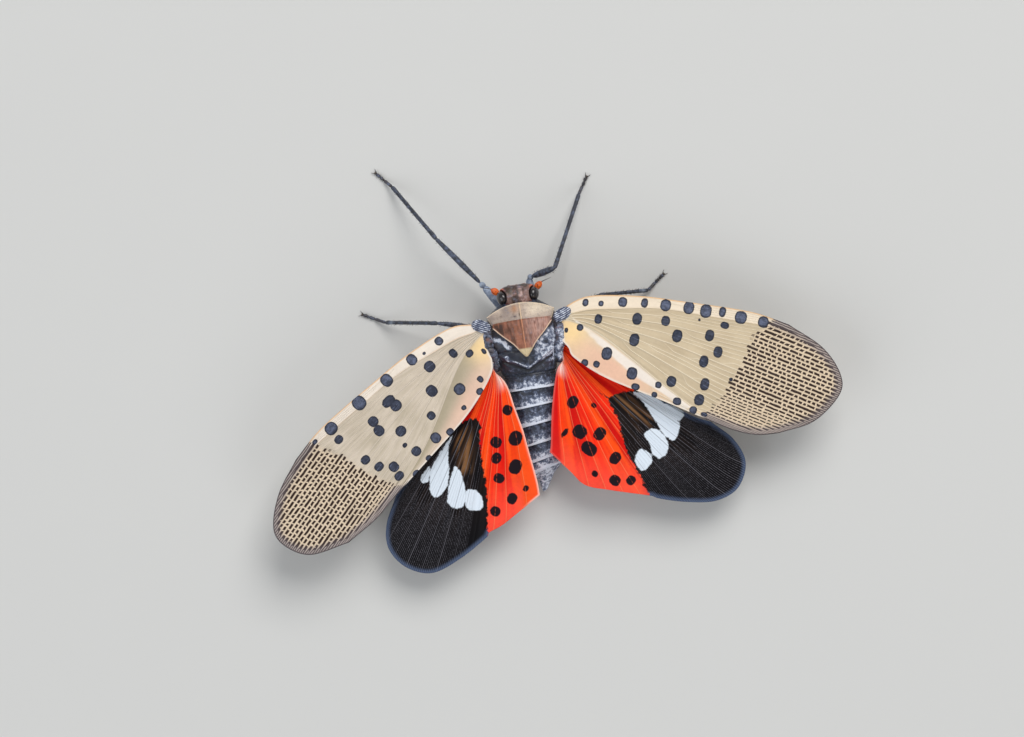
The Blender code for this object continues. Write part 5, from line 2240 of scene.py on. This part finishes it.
@dataclass
class EyeAndFeeler:
    """What sits on one side of the head: the eye, and the feeler below it."""

    side: int
    word: str

    feeler_root = (1.33, -2.86, 2.85)

    def make_eye(self, material: Material) -> Object:
        """Builds and places the eye.

        Args:
            material: Its material.

        Returns:
            The piece.
        """
        turn = turned(0, EYE_LEAN * self.side, EYE_TURN * self.side)
        draft = ball(EYE_CENTRE * np.array((self.side, 1, 1)), EYE_RADII, turn, 96)
        return place(draft, f"eye_globe_{self.word}", material, "eye", f"eye_{self.word}")

    def make_feeler(self, material: Material) -> Object:
        """Builds and places the feeler: stalk, pitted bulb and bristle.

        Args:
            material: Its material.

        Returns:
            The piece.
        """
        root = np.array((self.side * self.feeler_root[0], *self.feeler_root[1:]))
        out = np.array((self.side * 0.72, -0.62, 0.1))
        out /= np.linalg.norm(out)
        reach = np.linspace(0, 1, 60)
        knots = (0.0, 0.1, 0.16, 0.22, 0.4, 0.62, 0.8, 0.92, 1.0)
        sizes = (0.1, 0.13, 0.12, 0.16, 0.24, 0.26, 0.21, 0.12, 0.05)
        path = root - 0.15 * out + np.outer(reach * 0.86, out)
        bulb = tube(path, np.interp(reach, knots, sizes), 48)
        pits = value_noise(bulb.points, 0.09, 61)
        middle = root + 0.3 * out
        bulb.points += (bulb.points - middle) * (0.05 * pits)[:, None]
        bulb.tinted(shade(226, 104, 34), 0.12)
        bulb.colours["tint"] = blend(bulb.colours["tint"], shade(150, 52, 20), ease(0.1, 0.6, -pits))
        tip = path[-1]
        bend = np.array((self.side * 0.9, -0.25, 0.35))
        line = curve_through([tip - 0.08 * out, tip + 0.15 * bend, tip + 0.5 * bend, tip + 0.82 * bend], 24)
        bristle = tube(line, np.linspace(0.035, 0.008, 25), 10).tinted(shade(52, 34, 28))
        feeler = joined((bulb, bristle))
        return place(feeler, f"feeler_{self.word}", material, "antenna", f"antenna_{self.word}")


@dataclass
class Beak:
    """The sucking beak, folded back under the body."""

    path = (
        (0.0, -2.75, 1.75), (0.0, -2.72, 1.25), (0.0, -2.45, 0.95), (0.0, -1.6, 0.85),
        (0.0, 0.2, 0.85), (0.0, 1.7, 0.86), (0.0, 2.5, 0.9),
    )
    # share of the length, radius
    radii = (
        (0, 0.3), (0.08, 0.27), (0.2, 0.24), (0.33, 0.21), (0.34, 0.19), (0.66, 0.18), (0.67, 0.165),
        (0.93, 0.13), (1, 0.03),
    )

    def make(self, material: Material) -> Object:
        """Builds and places the beak.

        Args:
            material: Its material.

        Returns:
            The piece.
        """
        line = curve_through(self.path, 140)
        share = np.linspace(0, 1, 141)
        radii = np.interp(share, *zip(*self.radii))
        radii += 0.02 * (hump(share, 0.33, 0.012) + hump(share, 0.66, 0.012))
        draft = tube(line, radii, 28, flat=1.15).tinted(shade(58, 50, 46), 0.2)
        groove = value_noise(draft.points, 0.2, 71)
        draft.colours["tint"] = blend(draft.colours["tint"], shade(96, 80, 66), ease(0, 0.8, groove))
        return place(draft, "beak_sheath", material, "beak", "beak")


class LegKind(Enum):
    """Which pair a leg belongs to."""

    FORE = "fore"
    MID = "mid"
    HIND = "hind"


CHARCOAL = shade(52, 54, 62)
BONE = shade(176, 190, 208)
LEG_WAX = shade(128, 138, 156)


@dataclass
class Leg:
    """One leg: coxa, trochanter, femur, tibia, three foot joints and two claws."""

    kind: LegKind
    side: int
    joints: Sequence[Place]
    femur: float = 0.25
    tibia: float = 0.17
    foot: float = 0.12

    @property
    def word(self) -> str:
        """The leg's place on the body, in words."""
        return f"{self.kind.value}_{'left' if self.side > 0 else 'right'}"

    def limb(
        self, start: Array, end: Array, radius: float, profile: Outline,
        flat: float = 1.0, ribs: float = 0.0, bow: float = 0.0,
    ) -> Draft:
        """One joint of the leg, rounded at both ends.

        Args:
            start: Its near end.
            end: Its far end.
            radius: Its main radius.
            profile: Shares of its length and of its radius.
            flat: Sideways thickness as a share of the height.
            ribs: Depth of the ribs along it.
            bow: How far its middle is bent upwards.

        Returns:
            The draft.
        """
        near = np.linspace(0, 0.06, 8)
        share = np.concatenate((near[:-1], np.linspace(0.06, 0.94, 40), np.linspace(0.94, 1, 8)[1:]))
        path = start + (end - start) * share[:, None]
        path[:, 2] += bow * np.sin(math.pi * share)
        length = np.linalg.norm(end - start)
        radii = radius * np.interp(share, *zip(*profile))
        near_end = np.clip(np.minimum(share, 1 - share) * length / radius, 0, 1)
        radii *= np.sqrt(np.clip(1 - (1 - near_end) ** 2, 0.004, 1))
        return tube(path, radii, 22, flat, ribs)

    def bristles(self, start: Array, end: Array, radius: float, count: int, seed: int) -> Draft:
        """Short hairs standing on one joint, leaning towards the foot.

        Args:
            start: The joint's near end.
            end: Its far end.
            radius: Its radius.
            count: How many.
            seed: For the random places.

        Returns:
            The draft.
        """
        draw = np.random.default_rng(seed)
        along = (end - start) / np.linalg.norm(end - start)
        side, up = tube_frames(np.stack((start, end)))
        share = draw.uniform(0.06, 0.94, count)[:, None]
        angle = draw.uniform(0, 2 * math.pi, count)[:, None]
        out = np.cos(angle) * side[0] + np.sin(angle) * up[0]
        root = start + (end - start) * share + out * radius * 0.8
        length = draw.uniform(0.1, 0.17, count)[:, None]
        tip = root + (out * 0.75 + along * 0.65) * length + out * radius * 0.15
        across = np.cross(out, along)
        width = 0.011
        behind = root - across * width * 0.6
        corners = (root + across * width, behind + along * width, behind - along * width, tip)
        points = np.stack(corners, axis=1).reshape(-1, 3)
        start_of = np.arange(count)[:, None] * 4
        triangles = np.array(((0, 1, 3), (1, 2, 3), (2, 0, 3), (0, 2, 1)))
        faces = (start_of[:, :, None] + triangles[None]).reshape(-1, 3)
        return Draft(points, [faces]).tinted(shade(30, 28, 32))

    def spine(self, root: Array, tip: Array, radius: float) -> Draft:
        """A stout pointed spine or claw.

        Args:
            root: Its root.
            tip: Its point.
            radius: Its thickness at the root.

        Returns:
            The draft.
        """
        share = np.linspace(0, 1, 12)
        path = root + (tip - root) * share[:, None]
        return tube(path, radius * (1 - share) ** 0.7 + 0.006, 12).tinted(shade(28, 22, 22))

    def make(self, material: Material) -> Object:
        """Builds and places the leg.

        Args:
            material: Its material.

        Returns:
            The piece.
        """
        root, hip, knee, ankle, toe = (np.array(joint, float) for joint in self.joints)
        inward = root - np.array((self.side * 0.45, 0.0, -0.3))
        pale = BONE if self.kind is LegKind.FORE else shade(82, 88, 102)
        thigh = knee - hip
        trochanter = hip + thigh * min(0.42 / np.linalg.norm(thigh), 0.3)
        heel = ankle + (toe - ankle) * 0.4
        heel[2] = self.foot
        sole = toe.copy()
        sole[2] = self.foot
        forward = (toe - ankle) * np.array((1, 1, 0))
        forward /= np.linalg.norm(forward)
        sole -= forward * 0.3
        swell = ((0, 0.62), (0.12, 0.8), (0.4, 1.08), (0.75, 0.95), (0.92, 0.74), (1, 0.8))
        slim = ((0, 0.9), (0.06, 1.12), (0.14, 0.95), (0.5, 0.9), (0.85, 0.92), (1, 1.05))
        shin = knee - (ankle - knee) * 0.012
        ring = ((0, 0.9), (0.5, 1.05), (1, 0.85))
        waist = ((0, 1.05), (0.5, 0.9), (1, 1.1))
        pieces = [
            self.limb(inward, hip, 0.31, ((0, 1.1), (0.6, 1.0), (1, 0.78))).tinted(pale, 0.5),
            self.limb(hip - thigh * 0.02, trochanter, 0.22, ring).tinted(pale, 0.4),
            self.limb(trochanter, knee, self.femur, swell, 0.8, 0.03, 0.12).tinted(CHARCOAL, 0.34),
            self.limb(shin, ankle, self.tibia, slim, 0.9, 0.08, -0.08).tinted(CHARCOAL, 0.3),
            self.limb(ankle, heel, self.foot * 1.05, waist, 0.95).tinted(shade(66, 62, 64), 0.3),
        ]
        middle = heel + (sole - heel) * 0.5
        for start, end in ((heel, middle), (middle, sole)):
            cuff = self.limb(start, end, self.foot, ((0, 0.8), (0.5, 0.86), (0.9, 1.0), (1, 0.9)))
            pieces.append(cuff.tinted(shade(60, 56, 58), 0.28))
        across = np.cross(forward, (0, 0, 1.0))
        for way in (-1, 1):
            bend = sole + forward * 0.18 + across * way * 0.13 + np.array((0, 0, 0.03))
            tip = sole + forward * 0.34 + across * way * 0.2
            tip[2] = 0.02
            claw = curve_through([sole - forward * 0.04, bend, tip], 14)
            pieces.append(tube(claw, np.linspace(0.045, 0.006, 15), 12).tinted(shade(24, 18, 18)))
        pad = ball(sole + forward * 0.08 - np.array((0, 0, 0.03)), (0.09, 0.09, 0.06), None, 20)
        pieces.append(pad.tinted(shade(96, 80, 70)))
        if self.kind is LegKind.HIND:
            outward = np.array((self.side, 0.35, -0.15))
            outward /= np.linalg.norm(outward)
            for share in (0.3, 0.44, 0.58, 0.72, 0.86):
                base = knee + (ankle - knee) * share
                pieces.append(self.spine(base + outward * 0.08, base + outward * 0.6, 0.075))
        seed = 100 + sum(map(ord, self.word))
        pieces.append(self.bristles(trochanter, knee, self.femur, 90, seed))
        pieces.append(self.bristles(knee, ankle, self.tibia, 170, seed + 1))
        pieces.append(self.bristles(heel, sole, self.foot, 40, seed + 2))
        draft = joined(pieces)
        draft.points[:, 2] = np.maximum(draft.points[:, 2], 0.0)
        white = np.exp(-np.sum((draft.points - ankle - (knee - ankle) * 0.12) ** 2, axis=1) / 0.03)
        if self.kind is LegKind.MID:
            draft.colours["tint"] = blend(draft.colours["tint"], BONE, 0.8 * white)
        shade_noise = value_noise(draft.points, 0.3, seed + 3)
        dark = ease(0, 0.9, shade_noise) * 0.6
        draft.colours["tint"] = blend(draft.colours["tint"], shade(30, 30, 36), dark)
        return place(draft, f"limb_{self.word}", material, "leg", f"leg_{self.word}")


SOLE = 0.15
ANKLE = 0.5
LEGS = (
    Leg(
        LegKind.FORE, 1,
        ((1.62, -1.75, 1.47), (2.35, -3.6, 1.75), (5.3, -7.54, 3.3),
         (7.97, -11.89, ANKLE), (9.16, -13.24, SOLE)),
    ),
    Leg(
        LegKind.FORE, -1,
        ((-1.5, -1.75, 1.47), (-1.0, -3.75, 1.6), (-2.95, -4.15, 3.6),
         (-5.55, -9.32, ANKLE), (-6.44, -10.72, SOLE)),
        femur=0.3,
    ),
    Leg(
        LegKind.MID, 1,
        ((2.12, -0.1, 1.82), (3.2, -0.7, 1.9), (6.1, -1.42, 3.2), (9.9, -2.07, ANKLE), (11.7, -3.02, SOLE)),
        femur=0.22, tibia=0.16,
    ),
    Leg(
        LegKind.MID, -1,
        ((-2.12, -0.1, 1.82), (-3.2, -0.9, 1.9), (-5.9, -1.72, 3.2),
         (-9.55, -1.58, ANKLE), (-11.04, -2.75, SOLE)),
        femur=0.22, tibia=0.16,
    ),
    Leg(
        LegKind.HIND, 1,
        ((1.88, 2.0, 1.67), (2.6, 2.6, 1.5), (4.9, 4.6, 2.5), (6.6, 10.6, ANKLE), (6.95, 12.0, SOLE)),
        femur=0.24, tibia=0.18,
    ),
    Leg(
        LegKind.HIND, -1,
        ((-1.88, 2.0, 1.67), (-2.6, 2.6, 1.5), (-5.0, 4.3, 2.5), (-6.9, 9.9, ANKLE), (-7.35, 11.25, SOLE)),
        femur=0.24, tibia=0.18,
    ),
)


@dataclass
class WingRoots:
    """The small hard parts at the root of one side's wings: tegula, hinge skin, hindwing arm."""

    side: int
    word: str

    ridge_path = (
        (2.42, -0.75, 4.7), (2.6, -0.15, 4.74), (2.66, 0.45, 4.7), (2.56, 1.05, 4.55),
        (2.38, 1.6, 4.25), (2.34, 2.1, 3.95), (2.3, 2.6, 3.7),
    )
    arm_path = ((2.42, 1.75, 4.3), (2.52, 2.0, 4.2), (2.58, 2.35, 4.02), (2.62, 2.95, 3.86))

    def striped_cap(self) -> Draft:
        """The ribbed tegula over the forewing's root.

        Returns:
            The draft.
        """
        turn = turned(0, 12 * self.side, -24 * self.side)
        cap = ball((0, 0, 0), (0.74, 0.44, 0.3), None, 120)
        x, y = cap.points[:, 0], cap.points[:, 1]
        ribs = np.cos(y * 46 + 4 * x**2 + 1.2 * np.sin(3 * x))
        cloud = value_noise(cap.points, 0.2, 82)
        cap.points = cap.points * (1 + 0.025 * ribs + 0.05 * cloud)[:, None]
        cap.points = cap.points @ turn.T + np.array((self.side * 2.98, -0.72, 4.92))
        cap.tinted(shade(58, 64, 88))
        cap.floats["wax"] = np.clip(0.42 + 0.22 * ribs + 0.2 * cloud, 0, 1)
        return cap

    def hinge_ridge(self) -> Draft:
        """The crumpled skin and hard bits between the body and both wings' hinges.

        Returns:
            The draft.
        """
        path = curve_through([(self.side * x, y, z) for x, y, z in self.ridge_path], 150)
        share = np.linspace(0, 1, 151)
        radii = 0.33 * np.sin(np.pi * np.clip(share * 0.94 + 0.03, 0, 1)) ** 0.45
        ridge = tube(path, radii, 56, flat=1.15)
        folds = value_noise(ridge.points * np.array((1, 2.2, 1)), 0.42, 83)
        lumps = value_noise(ridge.points, 0.16, 84)
        middle = np.vstack((np.repeat(path, 56, axis=0), path[0], path[-1]))
        ridge.points += (ridge.points - middle) * (0.22 * folds + 0.1 * lumps)[:, None]
        ridge.tinted(shade(66, 62, 70))
        brown = ease(1.4, 0.2, ridge.points[:, 1]) * ease(-0.1, 0.5, folds)
        colour = blend(ridge.colours["tint"], shade(124, 84, 72), 0.8 * brown)
        ridge.colours["tint"] = blend(colour, shade(22, 22, 28), ease(0.1, 0.5, -lumps - 0.3 * folds))
        ridge.floats["wax"] = 0.4 + 0.24 * value_noise(ridge.points, 0.3, 85)
        return ridge

    def make(self, material: Material) -> Object:
        """Builds and places the root parts.

        Args:
            material: Their material.

        Returns:
            The piece.
        """
        arm = curve_through([(self.side * x, y, z) for x, y, z in self.arm_path], 40)
        white = tube(arm, 0.12 * (1 - 0.6 * np.linspace(0, 1, 41)), 20, flat=0.7)
        white.tinted(shade(224, 214, 214), 0.5)
        fading = ease(2.1, 2.8, white.points[:, 1])
        white.colours["tint"] = blend(white.colours["tint"], shade(252, 120, 70), fading)
        white.floats["wax"] *= 1 - fading
        parts = joined((self.striped_cap(), self.hinge_ridge(), white))
        return place(parts, f"wing_roots_{self.word}", material, "metanotum")


@dataclass
class Studio:
    """Floor, light and camera."""

    photo_width: float = 74.24
    wing_level: float = 4.8
    camera_height: float = 300.0
    aim: tuple[float, float] = (2.38, 1.04)
    photo_turn: float = 171.5
    sensor: float = 36.0
    floor_reach: float = 1.5

    def floor(self, effects: Effects) -> Object:
        """The pale floor.

        Args:
            effects: The shared node groups.

        Returns:
            The floor.
        """
        grid = bmesh.new()
        bmesh.ops.create_grid(grid, x_segments=8, y_segments=8, size=self.floor_reach)
        mesh = bpy.data.meshes.new("studio_floor")
        grid.to_mesh(mesh)
        grid.free()
        mesh.materials.append(FloorFinish().make(effects))
        obj = bpy.data.objects.new("studio_floor", mesh)
        bpy.context.scene.collection.objects.link(obj)
        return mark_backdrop(obj) or obj

    def lamp(self, name: str, place_at: Place, size: float, power: float, colour: Rgb) -> None:
        """A soft square light that faces the model.

        Args:
            name: Its name.
            place_at: Where it hangs, in metres.
            size: Its width, in metres.
            power: Its power in watts.
            colour: Its colour.
        """
        data = bpy.data.lights.new(name, "AREA")
        data.size = size
        data.energy = power
        data.color = colour
        obj = bpy.data.objects.new(name, data)
        obj.location = place_at
        away = np.array(place_at)
        level = math.atan2(away[1], away[0])
        tilt = math.atan2(math.hypot(away[0], away[1]), away[2])
        obj.rotation_euler = (0.0, tilt, level)
        bpy.context.scene.collection.objects.link(obj)

    def make(self, effects: Effects) -> None:
        """Builds the studio.

        Args:
            effects: The shared node groups.
        """
        self.floor(effects)
        self.lamp("key_light", (-0.16, -0.30, 0.42), 0.34, 2.05, (1.0, 0.985, 0.96))
        self.lamp("fill_light", (0.38, 0.16, 0.34), 0.45, 0.9, (0.93, 0.96, 1.0))
        self.lamp("back_light", (-0.2, 0.4, 0.3), 0.3, 0.6, (1.0, 1.0, 1.0))
        world = bpy.data.worlds.new("studio_world")
        world.use_nodes = True
        backdrop = world.node_tree.nodes["Background"]
        backdrop.inputs["Color"].default_value = (0.86, 0.89, 0.93, 1.0)
        backdrop.inputs["Strength"].default_value = 0.33
        bpy.context.scene.world = world
        bpy.context.scene.view_settings.view_transform = "Standard"
        data = bpy.data.cameras.new("photo_camera")
        data.sensor_width = self.sensor
        data.lens = self.sensor * self.camera_height / self.photo_width
        data.clip_start = 0.005
        data.clip_end = 20.0
        camera = bpy.data.objects.new("photo_camera", data)
        height = self.camera_height + self.wing_level
        camera.location = (self.aim[0] * MM, self.aim[1] * MM, height * MM)
        camera.rotation_euler = (0.0, 0.0, math.radians(self.photo_turn))
        bpy.context.scene.collection.objects.link(camera)
        bpy.context.scene.camera = camera


PRONOTUM_FRONT = ((0, -2.02), (0.9, -1.92), (1.75, -1.66), (2.5, -1.28))
PRONOTUM_BACK = ((0, -0.58), (1.1, -0.58), (2.2, -0.6))
MESONOTUM_FRONT = ((0, -0.8), (1.1, -0.78), (2.12, -0.72))
MESONOTUM_BACK = ((0, 1.95), (0.36, 1.6), (0.86, 0.94), (1.6, 0.22), (2.18, -0.42))


def main() -> None:
    """Builds the studio and every piece, in order."""
    logging.basicConfig(level=logging.INFO, format="%(message)s")
    effects = Effects()
    Studio().make(effects)
    body = CuticleFinish("body_cuticle", wax_scale=3800.0, coat=0.15).make(effects)
    shield = CuticleFinish("shield_cuticle", roughness=0.5, contrast=0.35, grain_depth=0.014).make(effects)
    head_skin = CuticleFinish("head_cuticle", roughness=0.42, contrast=0.8, grain=7000.0, grain_depth=0.016)
    leg_skin = CuticleFinish("leg_cuticle", roughness=0.4, contrast=0.6, grain=12000.0, wax=LEG_WAX)
    crown, limb = head_skin.make(effects), leg_skin.make(effects)
    orange = CuticleFinish("feeler_cuticle", roughness=0.38, contrast=0.4, grain=14000.0).make(effects)
    BodySkin().make(body)
    Pronotum("pronotum", "pronotum", PRONOTUM_FRONT, PRONOTUM_BACK).make(shield)
    Mesonotum("mesonotum", "mesonotum", MESONOTUM_FRONT, MESONOTUM_BACK, skirt=1.0).make(shield)
    Head().make(crown)
    gloss = EyeFinish().make(effects)
    for side, word in ((1, "left"), (-1, "right")):
        pair = EyeAndFeeler(side, word)
        pair.make_eye(gloss)
        pair.make_feeler(orange)
        WingRoots(side, word).make(body)
    Beak().make(limb)
    for leg in LEGS:
        leg.make(limb)
    hindwings(effects)
    forewings(effects)


if __name__ == "__main__":
    main()
